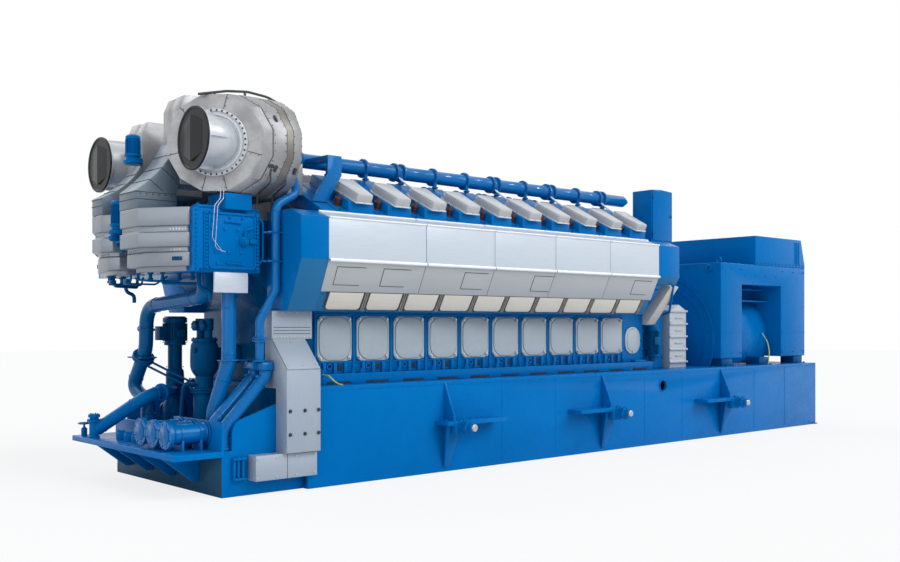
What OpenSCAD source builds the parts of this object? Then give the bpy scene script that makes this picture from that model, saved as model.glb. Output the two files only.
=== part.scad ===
// Dual-fuel engine generator set: V engine, turbochargers and generator on one base frame.
// +X runs from the turbocharger end to the generator, +Z is up.
// The origin is the centre of the base frame's underside.

/* [Base frame] */
// Length of the frame behind the generator
base_rear = 70; // [60:5:120]
// Width over the side girders
base_w = 2750; // [2600:10:2900]
// Height of the frame top above the floor
base_h = 1110; // [950:10:1300]
// Thickness of the frame plates
base_plate = 40; // [20:5:60]
// Width of the flanges that carry the machines
rail_w = 425; // [380:5:460]
// Plates across the frame, end plates included
cross_members = 10; // [6:1:14]
// Length of the low front section
front_l = 1000; // [900:10:1100]
// How much narrower the low front section is on each side
front_inset = 95; // [85:5:200]
// Height of the low front section
front_h = 480; // [400:10:560]
// Radius of the drain hole through each side girder
drain_r = 80; // [50:5:120]

/* [Side brackets] */
// Brackets along each side of the frame
brackets = 3; // [1:1:3]
// Distance from the front end to the first bracket
bracket_x = 3000; // [2600:50:3200]
// Distance between brackets
bracket_step = 2980; // [2600:20:3200]
// How far a bracket stands out from the girder
bracket_out = 180; // [120:10:260]
// Length of the bracket shelf
shelf_l = 1000; // [600:20:1300]
// Thickness of the bracket plates
bracket_t = 30; // [16:2:40]
// Width of the levelling jack on a bracket
jack_w = 200; // [140:10:260]

/* [Pipe rack] */
// How far the pipe rack stands out in front
rack_out = 560; // [450:10:640]
// Width of the rack across the engine
rack_w = 2600; // [2400:20:2700]
// Thickness of the rack tray
rack_t = 60; // [30:5:80]
// Thickness of the rack's upright plates
rack_plate = 30; // [16:2:40]
// Radius of the large service pipes
stub_r = 102; // [80:2:104]
// Radius of the flanges on the service pipes
stub_flange_r = 142; // [136:1:144]
// Radius of the bolt circle in those flanges
stub_pcd_r = 120; // [118:1:124]
// Radius of the bolt holes in those flanges
stub_hole_r = 11; // [9:0.5:12]
// Distance between the service pipes
stub_step = 290; // [288:2:320]

/* [Engine block] */
// Cylinders in each bank
per_bank = 10; // [8:1:10]
// Distance between cylinders
pitch = 560; // [540:5:565]
// Distance from the front end of the base to the block
block_x = 1350; // [1300:10:1400]
// Block length beyond the cylinders, for the end drive
block_extra = 490; // [400:10:560]
// Half width of the block at the crankcase doors
block_half = 970; // [900:5:990]
// Height of the mounting feet
foot_h = 120; // [80:5:160]
// How far the feet stand out past the block
foot_out = 110; // [60:5:160]
// Height of the crankshaft above the base frame
crank_up = 440; // [400:10:480]
// Tilt of each bank from upright
bank_tilt = 27.5; // [25:0.5:29]
// Width of a crankcase door
door_w = 490; // [440:5:520]
// Height of a crankcase door
door_h = 530; // [460:5:560]
// Thickness of a door
door_t = 30; // [15:5:40]
// Corner radius of a door
door_r = 80; // [40:5:120]
// Length of the front housing below the coolers
housing_l = 350; // [300:10:380]

/* [Hot boxes] */
// Half width over the hot boxes
hot_half = 1655; // [1600:5:1700]
// Height of the hot box foot above the base frame
hot_low = 840; // [800:5:880]
// Height of the hot box top above the base frame
hot_high = 1930; // [1880:5:1980]
// Length of the front end cap
cap_l = 355; // [300:5:400]
// How far the front end cap reaches in front of the block
cap_out = 620; // [560:10:640]
// Upper cover panels on each side
panels = 5; // [3:1:8]
// Thickness of the cover panels
panel_t = 25; // [10:1:40]
// Gap between two panels
panel_gap = 8; // [4:1:16]

/* [Cylinder heads] */
// Height of a cylinder head
head_h = 346; // [330:2:360]
// Gap between two cylinder heads
head_gap = 20; // [10:2:40]
// Depth of the ledge beside the rocker cover
ledge_h = 110; // [90:5:120]
// Head length from the cylinder axis towards the centre plane
head_in = 300; // [280:5:320]
// Width of a rocker cover
cover_w = 280; // [260:5:290]
// Height of a rocker cover
cover_h = 110; // [80:5:140]
// Length of a rocker cover
cover_l = 520; // [480:5:530]
// Radius of an ignition coil
coil_r = 50; // [30:1:52]
// Height of an ignition coil
coil_h = 100; // [80:5:140]

/* [Fuel gas pipes] */
// Radius of the fuel gas pipe
gas_r = 86; // [60:1:90]
// Radius of its flanges
gas_flange_r = 116; // [100:1:120]
// Distance of the pipe from the centre plane
gas_side = 700; // [690:5:710]
// Height of the pipe centre above the base frame
gas_up = 2600; // [2590:5:2640]
// Radius of the branch pipes
branch_r = 25; // [20:1:30]

/* [Exhaust casing] */
// Half width of the exhaust casing between the banks
exhaust_half = 360; // [300:5:370]
// Height of the exhaust casing top above the base frame
exhaust_up = 2500; // [2440:5:2510]

/* [Turbochargers] */
// Radius of the insulated turbine casing, across its flats
drum_r = 512; // [480:2:530]
// Height of the turbocharger centre above the base frame
turbo_up = 2600; // [2560:5:2640]
// Turn of the gas outlet flange away from the engine line
outlet_turn = 45; // [35:1:50]
// Radius of the gas outlet flange
outlet_r = 354; // [330:2:370]
// Radius of the blanking plate on the outlet
blank_r = 331; // [310:1:340]
// Thickness of the blanking plate
blank_t = 25; // [15:1:40]

/* [Charge air coolers] */
// Length of the cooler housing
cooler_l = 820; // [780:10:840]
// Width of the cooler housing
cooler_w = 2260; // [2200:10:2300]
// Height of the cooler housing
cooler_h = 660; // [620:5:700]
// Height of the cooler housing above the base frame
cooler_up = 1240; // [1200:5:1260]
// How far the insulated air boxes reach in front of the housing
air_box_out = 365; // [330:5:380]
// Depth of the grooves round an air box
groove = 25; // [10:1:40]

/* [Front pipework] */
// Radius of the water pipe in front of the engine
water_r = 83; // [60:1:85]
// Radius of the pipe below the cooler
drop_r = 80; // [60:1:90]
// Radius of the sloping supply pipes
supply_r = 66; // [45:1:68]
// Radius of the vent pipe beside the hot box
vent_r = 48; // [30:1:50]
// Radius of the oil filter body
filter_r = 165; // [130:5:180]

/* [Electrical boxes] */
// Length of the junction box
junction_l = 520; // [440:10:560]
// Height of the junction box
junction_h = 310; // [260:5:340]
// Length of the upright cable duct
duct_l = 430; // [360:10:460]
// Length of the foot duct
foot_duct_l = 765; // [700:5:785]

/* [Flywheel end] */
// Length of the flywheel housing
flywheel_l = 610; // [560:10:640]
// Radius of the flywheel guard
guard_r = 780; // [720:5:785]
// Length of the flywheel guard
guard_l = 560; // [500:10:600]
// Width of the ribbed cover beside the flywheel
ribbed_w = 210; // [160:5:240]
// Length of the control cabinet
cabinet_l = 535; // [480:5:580]
// Width of the control cabinet
cabinet_w = 370; // [320:5:420]
// Height of the control cabinet
cabinet_h = 820; // [740:10:900]

/* [Generator] */
// Distance from the flywheel housing to the generator
coupling_l = 1180; // [1100:10:1300]
// Length of the generator housing
gen_l = 2700; // [2600:10:2800]
// Width of the generator housing
gen_w = 2400; // [2340:10:2460]
// Height of the generator feet
gen_foot = 130; // [90:5:160]
// Height of the generator housing without its hood
gen_h = 1590; // [1500:10:1700]
// Height of the air hood
hood_h = 500; // [440:5:560]
// Length of the air hood
hood_l = 1650; // [1550:10:1750]
// Length of the side opening over the stator
window_l = 1250; // [1150:10:1300]
// How far the stator's rim stays inside the generator's sides
stator_in = 270; // [240:5:300]
// Radius of the end bell
bell_r = 1089; // [1040:5:1120]

/* [Hidden] */
$fn = 48;
bend_swell = 4;

main_blue = [0.0, 0.36, 0.66];
silver = [0.74, 0.76, 0.78];
cream = [0.80, 0.78, 0.72];
steel_grey = [0.55, 0.57, 0.60];
dark = [0.12, 0.13, 0.14];
coil_red = [0.45, 0.18, 0.12];

// Levels
foot_top = base_h + foot_h;
crank_z = base_h + crank_up;
hot_z0 = base_h + hot_low;
hot_z1 = base_h + hot_high;
turbo_z = base_h + turbo_up;
cooler_z0 = base_h + cooler_up;
cooler_z1 = cooler_z0 + cooler_h;
gen_z0 = base_h + gen_foot;
gen_z1 = gen_z0 + gen_h;

// Stations along the base frame, from its front end
block_l = per_bank * pitch + block_extra;
block_end = block_x + block_l;
housing_x = block_x - housing_l;
cap_x = block_x - cap_out;
hot_x0 = cap_x + cap_l;
hot_x1 = block_end - block_extra;
flywheel_x1 = block_end + flywheel_l;
gen_x0 = flywheel_x1 + coupling_l;
gen_x1 = gen_x0 + gen_l;
base_l = gen_x1 + base_rear;
front_w = base_w - 2 * front_inset;
cooler_x1 = housing_x - 450;
cooler_x0 = cooler_x1 - cooler_l;

// Everything is drawn from the front end of the base frame
module placed() {
    translate([-base_l / 2, 0, 0])
        children();
}

// The same piece on the near and the far side of the engine
module both_sides() {
    children();
    mirror([0, 1, 0])
        children();
}

// An outline in Y and Z, drawn out along X
module along_x(x0, x1, outline) {
    translate([x0, 0, 0])
        rotate([90, 0, 90])
            linear_extrude(height = x1 - x0)
                polygon(outline);
}

// An outline in X and Z, drawn out along Y
module along_y(y0, y1, outline) {
    translate([0, y1, 0])
        rotate([90, 0, 0])
            linear_extrude(height = y1 - y0)
                polygon(outline);
}

// A box between two corners
module block(low, high) {
    translate(low)
        cube(high - low);
}

// A round bar from one point to another
module rod(from, to, r) {
    way = to - from;
    reach = norm(way);
    translate(from)
        rotate([0, acos(way[2] / reach), atan2(way[1], way[0])])
            cylinder(h = reach, r = r);
}

// A pipe through a list of points, with a slightly fuller ball at each bend
module pipe(points, r) {
    for (i = [0 : len(points) - 2])
        rod(points[i], points[i + 1], r);
    for (i = [1 : len(points) - 2])
        translate(points[i])
            sphere(r = r + bend_swell);
}

// A plate with round corners, standing in the X-Z plane
module round_plate(w, h, r, t) {
    translate([-w / 2 + r, -t, -h / 2])
        cube([w - 2 * r, t, h]);
    translate([-w / 2, -t, -h / 2 + r])
        cube([w, t, h - 2 * r]);
    for (x = [-w / 2 + r, w / 2 - r])
        for (z = [-h / 2 + r, h / 2 - r])
            translate([x, 0, z])
                rotate([90, 0, 0])
                    cylinder(h = t, r = r);
}

// Base frame

girder_inner = base_w / 2 - rail_w;
web_inner = base_w / 2 - base_plate;
drain_x = block_end - 26;
drain_z = base_h - 234;

module base_girders() {
    color(main_blue)
        placed()
            both_sides()
                difference() {
                    along_x(front_l, base_l, [
                        [-base_w / 2, 0], [-girder_inner, 0],
                        [-girder_inner, base_plate], [-web_inner, base_plate],
                        [-web_inner, base_h - base_plate], [-girder_inner, base_h - base_plate],
                        [-girder_inner, base_h], [-base_w / 2, base_h]]);
                    translate([drain_x, -web_inner + 10, drain_z])
                        rotate([90, 0, 0])
                            cylinder(h = base_plate + 20, r = drain_r);
                }
}

cross_t = 30;
cross_step = (base_l - front_l - cross_t) / (cross_members - 1);

module base_cross_members() {
    color(main_blue)
        placed()
            for (i = [0 : cross_members - 1])
                translate([front_l + i * cross_step, 0, 0])
                    block([0, -web_inner, base_plate], [cross_t, web_inner, base_h - base_plate]);
}

module base_deck() {
    color(main_blue)
        placed()
            block([front_l, -girder_inner, base_h - base_plate], [base_l, girder_inner, base_h]);
}

module base_floor_plate() {
    color(main_blue)
        placed()
            block([front_l, -girder_inner, 0], [base_l, girder_inner, base_plate]);
}

// The side plates rise in a curve from the platform to the main frame
side_x0 = 120;
side_bend = 160;
side_low = 650;
side_rise_x = 0.69 * front_l;
side_rise_z = 0.86 * base_h;

function side_curve() = [
    for (a = [180 : -14 : 110])
        [side_x0 + side_bend * (1 + cos(a)), side_low + side_bend * sin(a)]
];

module front_frame() {
    color(main_blue)
        placed() {
            along_y(-front_w / 2 + base_plate, front_w / 2 - base_plate, [
                [0, 0], [front_l, 0], [front_l, base_plate], [base_plate, base_plate],
                [base_plate, front_h - base_plate], [front_l, front_h - base_plate],
                [front_l, front_h], [0, front_h]]);
            both_sides()
                along_y(-front_w / 2, -front_w / 2 + base_plate,
                    concat([[0, front_h], [side_x0, front_h]], side_curve(),
                        [[side_rise_x, side_rise_z], [front_l, base_h], [front_l, 0], [0, 0]]));
        }
}

// Side brackets

shelf_z = 0.525 * base_h;
shelf_t = 50;
jack_h = 200;

function bracket_at(i) = bracket_x + i * bracket_step;

module base_brackets() {
    color(main_blue)
        placed()
            both_sides()
                for (i = [0 : brackets - 1])
                    translate([bracket_at(i), 0, 0]) {
                        along_x(-bracket_t / 2, bracket_t / 2, [
                            [-base_w / 2, 30], [-base_w / 2, base_h - 10],
                            [-base_w / 2 - bracket_out, shelf_z + 110],
                            [-base_w / 2 - bracket_out, shelf_z - 20]]);
                        translate([i == 0 ? -shelf_l * 0.16 : -shelf_l * 0.72, 0, 0])
                            block([0, -base_w / 2 - bracket_out - 60, shelf_z],
                                [shelf_l, -base_w / 2, shelf_z + shelf_t]);
                    }
}

module bracket_jacks() {
    color(main_blue)
        placed()
            both_sides()
                for (i = [0 : brackets - 1])
                    translate([bracket_at(i), -base_w / 2 - bracket_out - 60, 0]) {
                        block([-jack_w / 2, -jack_w, shelf_z + shelf_t - jack_h],
                            [jack_w / 2, 0, shelf_z + shelf_t]);
                        block([-jack_w / 4, -jack_w - 60, shelf_z - jack_h / 2],
                            [jack_w / 4, -jack_w, shelf_z]);
                    }
}

// Pipe rack in front of the base frame

rack_z = front_h + 10;
rack_y0 = -rack_w / 2 - 40;
rack_y1 = rack_y0 + rack_w;
stub_z = rack_z + 30 + stub_flange_r;
stub_y = rack_y0 + 350;
gussets = [-800, -250, 300, 850];
wall_h = 300;

module pipe_rack() {
    color(main_blue)
        placed() {
            block([-rack_out, rack_y0, rack_z - rack_t], [0, rack_y1, rack_z]);
            block([-rack_plate, rack_y0, rack_z], [0, stub_y + 2.5 * stub_step, rack_z + wall_h]);
            block([-rack_plate, rack_y1 - 700, rack_z], [0, rack_y1, rack_z + 0.6 * wall_h]);
            for (y = gussets)
                along_y(y - rack_plate / 2, y + rack_plate / 2, [
                    [0, rack_z - rack_t], [0, 0.27 * front_h], [-0.15 * rack_out, 0.27 * front_h],
                    [-0.85 * rack_out, rack_z - rack_t]]);
        }
}

stub_flange_t = 42;
stub_end = rack_out - 70;
stub_holes = 8;

module service_pipe(y) {
    translate([0, y, stub_z])
        rotate([0, -90, 0]) {
            translate([0, 0, rack_plate])
                cylinder(h = stub_end - rack_plate - 10, r = stub_r);
            difference() {
                translate([0, 0, stub_end - stub_flange_t])
                    cylinder(h = stub_flange_t, r = stub_flange_r);
                for (i = [0 : stub_holes - 1])
                    rotate([0, 0, (i + 0.5) * 360 / stub_holes])
                        translate([stub_pcd_r, 0, stub_end - stub_flange_t - 10])
                            cylinder(h = stub_flange_t + 20, r = stub_hole_r);
            }
        }
}

module service_pipes() {
    color(main_blue)
        placed()
            for (i = [0 : 2])
                service_pipe(stub_y + i * stub_step);
}

valve_x = -0.8 * rack_out;
valve_y = rack_y1 - 370;
valve_r = 55;
rack_pipe_r = 75;

module rack_valves() {
    color(main_blue)
        placed() {
            translate([valve_x, valve_y, rack_z]) {
                cylinder(h = 270, r = valve_r);
                translate([0, 0, 180])
                    cylinder(h = 24, r = valve_r + 25);
                translate([0, 0, 230])
                    cylinder(h = 40, r = valve_r + 12);
            }
            translate([valve_x, valve_y + 290, rack_z]) {
                cylinder(h = 150, r = 35);
                translate([0, 0, 130])
                    cylinder(h = 20, r = 72);
            }
            for (y = [50, 250, 450])
                translate([-0.55 * rack_out, y, rack_z])
                    cylinder(h = 110, r = 62);
            pipe([
                [valve_x + valve_r, valve_y, rack_z + 90], [-50, 325, 986], [250, 466, pump_inlet_z],
                [pump_x - 0.64 * pump_neck_r, pump_y - 0.77 * pump_neck_r, pump_inlet_z]], rack_pipe_r);
        }
}

// Engine block

slot_l = 0.6 * pitch;
slot_h = 28;

module engine_feet() {
    color(main_blue)
        placed()
            difference() {
                along_x(block_x, block_end + foot_out, [
                    [-block_half - foot_out, base_h], [block_half + foot_out, base_h],
                    [block_half + foot_out, foot_top], [-block_half - foot_out, foot_top]]);
                for (i = [0 : per_bank])
                    translate([block_x + i * pitch + 0.2 * pitch, 0, 0])
                        block([0, -base_w / 2, base_h - 1], [slot_l, base_w / 2, base_h + slot_h]);
            }
}

// Outline points on the near bank, across the bank and along the cylinder
function on_bank(across, along) = [
    across * cos(bank_tilt) - along * sin(bank_tilt),
    crank_z + across * sin(bank_tilt) + along * cos(bank_tilt)
];
function mirror_y(p) = [-p[0], p[1]];

// The cylinder head seat runs inwards from the top of the block's side wall
deck_r = block_half * sin(bank_tilt) + (hot_z1 - crank_z) * cos(bank_tilt);
head_top = deck_r + head_h;
valley_z = base_h + 1840;
valley_half = 290;
deck_in = on_bank(head_in, deck_r);
near_outline = [
    [-block_half, foot_top], [-block_half, hot_z1], deck_in, [-valley_half, valley_z]];

module engine_block() {
    color(main_blue)
        placed()
            along_x(block_x, block_end,
                concat(near_outline, [for (i = [len(near_outline) - 1 : -1 : 0]) mirror_y(near_outline[i])]));
}

module front_housing() {
    color(main_blue)
        placed()
            along_y(-block_half, block_half, [
                [housing_x, base_h], [block_x, base_h], [block_x, valley_z],
                [cooler_x1, valley_z], [cooler_x1, cooler_z0], [housing_x, cooler_z0 - 350]]);
}

door_z = base_h + 525;
end_door_w = 360;
end_door_h = 410;
end_door_r = 165;

module crankcase_doors() {
    color(silver)
        placed()
            both_sides() {
                for (i = [0 : per_bank - 1])
                    translate([block_x + (i + 0.5) * pitch, -block_half, door_z])
                        round_plate(door_w, door_h, door_r, door_t);
                translate([block_end - block_extra / 2 - 20, -block_half, door_z - 75])
                    round_plate(end_door_w, end_door_h, end_door_r, door_t);
            }
}

// Hot boxes: the covered fuel pump and pipe spaces beside each bank

// Outline of a hot box, drawn in by t
function hot_outline(t) = [
    [-block_half, hot_z0], [-hot_half + 275 + t * 1.2, hot_z0],
    [-hot_half + 155 + t, hot_z0 + 210 + t * 0.3], [-hot_half + t, hot_z0 + 550],
    [-hot_half + t, hot_z1 - 80 - t * 0.3], [-hot_half + 205 + t * 0.5, hot_z1 - t],
    [-block_half, hot_z1 - t]];

// The rear end cap is the upper part of that outline
rear_cap = concat([[-block_half, hot_z0 + 440], [-hot_half + 65, hot_z0 + 440]],
    [for (i = [3 : 6]) hot_outline(0)[i]]);

module hot_box_frames() {
    color(main_blue)
        placed()
            both_sides() {
                along_x(cap_x, hot_x0, hot_outline(0));
                along_x(hot_x0, hot_x1, hot_outline(panel_t));
                along_x(hot_x1, block_end, rear_cap);
            }
}

cover_edges = hot_outline(0);
frame_edges = hot_outline(panel_t);
panel_l = (hot_x1 - block_x) / panels;

function panel_start(i) = i == 0 ? hot_x0 : block_x + i * panel_l;
function panel_end(i) = block_x + (i + 1) * panel_l - panel_gap;

// A strip of cover panel between two corners of the hot box outline
module cover_strip(x0, x1, first, last) {
    along_x(x0, x1, concat(
        [for (i = [first : last]) cover_edges[i]],
        [for (i = [last : -1 : first]) frame_edges[i]]));
}

module upper_covers() {
    color(silver)
        placed()
            both_sides()
                for (i = [0 : panels - 1])
                    cover_strip(panel_start(i), panel_end(i), 3, 5);
}

module lower_covers() {
    color(silver)
        placed()
            both_sides()
                for (i = [0 : panels - 1])
                    cover_strip(panel_start(i), panel_end(i), 2, 3);
}

window_l_each = 0.88 * pitch;
window_shift = 150;

module window_covers() {
    color(cream)
        placed()
            both_sides()
                for (i = [0 : per_bank - 1])
                    cover_strip(max(hot_x0, block_x + i * pitch - window_shift),
                        block_x + i * pitch + window_l_each - window_shift, 1, 2);
}

// Cylinder heads

head_side = hot_half - 215;
ledge_r = head_top - ledge_h;

// Distance across the bank at a given side of the engine and radius
function across_at(side, along) = (along * sin(bank_tilt) - side) / cos(bank_tilt);

ledge_edge = on_bank(across_at(head_side, ledge_r), ledge_r);
top_edge = on_bank(across_at(head_side, head_top), head_top);
head_low = [
    [-block_half, hot_z1], [-head_side, hot_z1], ledge_edge, on_bank(head_in, ledge_r), deck_in];
head_high = [ledge_edge, top_edge, on_bank(head_in, head_top), on_bank(head_in, ledge_r)];
cover_left = -0.41 * cover_w;
cover_right = 0.59 * cover_w;
cover_flare = 40;
rim = 18;

module cylinder_heads() {
    color(main_blue)
        placed()
            both_sides()
                for (i = [0 : per_bank - 1])
                    translate([block_x + (i + 0.5) * pitch, 0, 0]) {
                        along_x(-(pitch - head_gap) / 2, (pitch - head_gap) / 2, head_low);
                        along_x(cover_left - rim, cover_right + cover_flare + rim, head_high);
                    }
}

// The same piece on every cylinder, in the frame of its bank
module on_each_head(radius) {
    both_sides()
        for (i = [0 : per_bank - 1])
            translate([block_x + (i + 0.5) * pitch, 0, crank_z])
                rotate([bank_tilt, 0, 0])
                    translate([0, 0, radius])
                        children();
}

cover_y1 = -60;
cover_y0 = cover_y1 - cover_l;
cover_cut = 90;

function cover_outline(inset) = [
    [cover_left + 45 + inset, cover_y0 + inset], [cover_right - inset, cover_y0 + inset],
    [cover_right + cover_flare - inset, cover_y1 - inset], [cover_left + 30 + inset, cover_y1 - inset],
    [cover_left + inset, cover_y1 - cover_cut - inset]];

module rocker_covers() {
    color(silver)
        placed()
            on_each_head(head_top) {
                linear_extrude(height = rim)
                    polygon(cover_outline(0));
                translate([0, 0, rim])
                    linear_extrude(height = cover_h - rim)
                        polygon(cover_outline(rim));
            }
}

coil_x = cover_left - rim - coil_r - 6;
coil_y = cover_y0 + 190;

module ignition_coils() {
    color(coil_red)
        placed()
            on_each_head(ledge_r)
                translate([coil_x, coil_y, 0]) {
                    cylinder(h = coil_h, r = coil_r);
                    translate([0, 0, coil_h])
                        cylinder(h = 20, r = coil_r * 0.7);
                }
}

// Fuel gas pipes above the heads

gas_z = base_h + gas_up;
gas_x0 = block_x;
gas_valve_l = 440;
gas_valve_grow = 10;
gas_x1 = block_end - 170;
gas_flange_t = 30;
flange_x = 45;
joint_half = 55;
double_joints = [2, 5, 7, 9];
branch_x = 60;
branch_y = -gas_side - 60;
strut_w = 190;
strut_x = gas_x0 + 95;
strut_lean = 205;
strut_t = 30;
strut_y = -1250;

function cylinder_x(i) = block_x + (i + 0.5) * pitch;
function is_double(i) = len(search(i, double_joints)) > 0;

// Height of the head surface of a given radius, at a side of the engine
function height_at(side, along) = crank_z + (along - side * sin(bank_tilt)) / cos(bank_tilt);

strut_foot = height_at(-strut_y - strut_t, ledge_r);

module gas_flange(x) {
    translate([x, -gas_side, gas_z])
        rotate([0, 90, 0])
            cylinder(h = gas_flange_t, r = gas_flange_r);
}

module gas_pipe_strut() {
    along_y(strut_y, strut_y + strut_t, [
        [strut_x - strut_lean - strut_w / 2, strut_foot], [strut_x - strut_lean + strut_w / 2, strut_foot],
        [strut_x + strut_w / 2, gas_z - 220], [strut_x + strut_w / 2, gas_z],
        [strut_x - strut_w / 2, gas_z], [strut_x - strut_w / 2, gas_z - 220]]);
    block([strut_x - strut_w / 2, strut_y + strut_t, gas_z - 40], [strut_x + strut_w / 2, -gas_side, gas_z]);
}

module gas_pipes() {
    color(main_blue)
        placed()
            both_sides() {
                translate([gas_x0, -gas_side, gas_z])
                    rotate([0, 90, 0])
                        cylinder(h = gas_x1 - gas_x0, r = gas_r);
                translate([gas_x1, -gas_side, gas_z])
                    rotate([0, 90, 0])
                        cylinder(h = 100, r1 = gas_r, r2 = gas_r * 0.45);
                for (i = [1 : per_bank - 1])
                    if (is_double(i)) {
                        gas_flange(cylinder_x(i) + flange_x - 20 - joint_half);
                        gas_flange(cylinder_x(i) + flange_x - 20 + joint_half);
                    } else {
                        gas_flange(cylinder_x(i) + flange_x);
                    }
                for (i = [0 : per_bank - 1])
                    rod([cylinder_x(i) + branch_x, branch_y, height_at(-branch_y - branch_r, head_top)],
                        [cylinder_x(i) + branch_x, branch_y, gas_z], branch_r);
                gas_pipe_strut();
                translate([gas_x0 - gas_valve_l, -gas_side, gas_z])
                    rotate([0, 90, 0])
                        cylinder(h = gas_valve_l, r = gas_r + gas_valve_grow);
            }
}

front_cover_l = 200;

module bank_end_covers() {
    color(main_blue)
        placed()
            both_sides()
                along_x(block_x - front_cover_l, block_x, head_low);
}

exhaust_x0 = cooler_x1 + 300;
exhaust_x1 = block_end - 100;
exhaust_z = base_h + exhaust_up;
cross_box_half = cooler_w / 2 - 80;
cross_box_h = 360;
cross_box_l = 300;
cross_box_z = exhaust_z - cross_box_h;

module exhaust_casing() {
    color(silver)
        placed() {
            along_x(exhaust_x0 + cross_box_l, exhaust_x1, [
                [-valley_half + 10, valley_z], [valley_half - 10, valley_z],
                [exhaust_half, valley_z + 200], [exhaust_half, exhaust_z],
                [-exhaust_half, exhaust_z], [-exhaust_half, valley_z + 200]]);
            block([exhaust_x0, -cross_box_half, cross_box_z],
                [exhaust_x0 + cross_box_l, cross_box_half, exhaust_z]);
        }
}

// Turbochargers

drum_points_r = drum_r / cos(15);
drum_x0 = cooler_x0 + 300;
far_drum_x0 = cooler_x0 + 570;
drum_y0 = -cooler_w / 2 + 50;
drum_y1 = drum_y0 + 120;
rear_grow = 1.03;

// A thin twelve-sided plate that faces the front, turned about Z
module drum_plate(x, y, turn, grow = 1) {
    translate([x, y, turbo_z])
        rotate([0, 0, turn])
            rotate([0, 90, 0])
                rotate([0, 0, 15])
                    linear_extrude(height = 1)
                        circle(r = drum_points_r * grow, $fn = 12);
}

module drum(x0, turn) {
    middle_x = (x0 + exhaust_x0) / 2 + 120;
    middle_y = (drum_y0 + drum_y1) / 2;
    hull() {
        drum_plate(x0, drum_y0, turn);
        drum_plate(middle_x, middle_y, turn / 3, rear_grow);
    }
    hull() {
        drum_plate(middle_x, middle_y, turn / 3, rear_grow);
        drum_plate(exhaust_x0 - 1, drum_y1, 0, rear_grow);
    }
}

volute_y0 = -660;
volute_y1 = -250;
volute_x0 = drum_x0 - 180;
volute_x1 = drum_x0 + 570;
volute_low = 410;

module volute(top) {
    along_y(volute_y0, volute_y1, [
        [volute_x0, turbo_z - volute_low], [volute_x0, turbo_z + top - 140], [volute_x0 + 60, turbo_z + top],
        [volute_x1, turbo_z + top], [volute_x1, turbo_z - volute_low]]);
}

module turbo_casings() {
    color(silver)
        placed() {
            drum(drum_x0, outlet_turn);
            volute(560);
            mirror([0, 1, 0]) {
                drum(far_drum_x0, 0);
                volute(410);
            }
        }
}

outlet_t = 40;
neck_gap = 0.3;
blank_x = cooler_x0 + 20;
blank_y = drum_y0 - 90;

module turbo_outlet(x0, turn) {
    translate([x0, drum_y0, turbo_z])
        rotate([0, 0, turn])
            rotate([0, -90, 0])
                cylinder(h = outlet_t, r = outlet_r);
    hull() {
        translate([x0, drum_y0, turbo_z])
            rotate([0, 0, turn])
                rotate([0, -90, 0])
                    translate([0, 0, outlet_t + neck_gap])
                        cylinder(h = 1, r = outlet_r * 0.82, $fn = 32);
        translate([blank_x + 1, blank_y, turbo_z])
            rotate([0, -90, 0])
                cylinder(h = 1, r = blank_r * 0.84, $fn = 32);
    }
}

module turbo_outlets() {
    color(silver)
        placed() {
            turbo_outlet(drum_x0, outlet_turn);
            mirror([0, 1, 0])
                turbo_outlet(far_drum_x0, 0);
        }
}

module blanking_plates() {
    color(dark)
        placed()
            both_sides()
                translate([blank_x, blank_y, turbo_z])
                    rotate([0, -90, 0]) {
                        cylinder(h = blank_t, r = blank_r);
                        translate([0, 0, blank_t])
                            cylinder(h = 12, r = blank_r * 0.72);
                    }
}

module turbo_brackets() {
    color(main_blue)
        placed()
            both_sides() {
                block([drum_x0 + 60, drum_y0 - 120, cooler_z1],
                    [drum_x0 + 380, drum_y0 + 260, turbo_z - drum_r * rear_grow]);
                block([cooler_x0 + 150, drum_y0 - 20, cooler_z1], [cooler_x1, drum_y0 + 300, cooler_z1 + 40]);
            }
}

// Charge air side

air_x0 = cooler_x0 - air_box_out;
air_x1 = cooler_x0;
air_in = 120;
air_side = cooler_w / 2;
air_duct_z = cooler_z1 + 190;
air_duct_y0 = -650;
air_duct_y1 = -220;

// Footprint of an air box, drawn in by t, with its front face as wide as given
function air_outline(t, back, face) = [
    [air_x1, -air_side + t], [air_x1 - 36, -air_side + t],
    [air_x0 + t + back, -air_in - 120 - face + t], [air_x0 + t + back, -air_in - 120],
    [air_x0 + 75 + t + back, -air_in - t], [air_x1, -air_in - t]];

module air_tier(z0, z1, face, t, back = 0) {
    translate([0, 0, cooler_z0 + z0 * cooler_h])
        linear_extrude(height = (z1 - z0) * cooler_h)
            polygon(air_outline(t, back, face));
}

module air_box(face) {
    air_tier(0.71, 1, face, 0);
    air_tier(0.61, 0.71, face, groove);
    air_tier(0.38, 0.61, face, 0);
    air_tier(0.30, 0.38, face, groove, 60);
    air_tier(0.08, 0.30, face, 0, 80);
    air_tier(0, 0.08, face, 60, 120);
}

module air_boxes() {
    color(silver)
        placed() {
            air_box(430);
            mirror([0, 1, 0])
                air_box(250);
        }
}

duct_bend = 25;

// The duct runs from the turbocharger down to the air box, between two sides
module air_duct(y0, y1, top) {
    along_y(y0, y1, [
        [volute_x0, turbo_z - volute_low + 10], [volute_x0, top],
        [(volute_x0 + air_x0) / 2 + duct_bend, (top + air_duct_z) / 2 - duct_bend],
        [air_x0, air_duct_z], [air_x0, cooler_z1], [volute_x0 - 30, cooler_z1],
        [volute_x0 - 30, air_duct_z]]);
}

module air_ducts() {
    color(silver)
        placed() {
            air_duct(air_duct_y0, air_duct_y1, turbo_z + 70);
            mirror([0, 1, 0])
                air_duct(-500, air_duct_y1, turbo_z - 90);
        }
}

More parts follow.
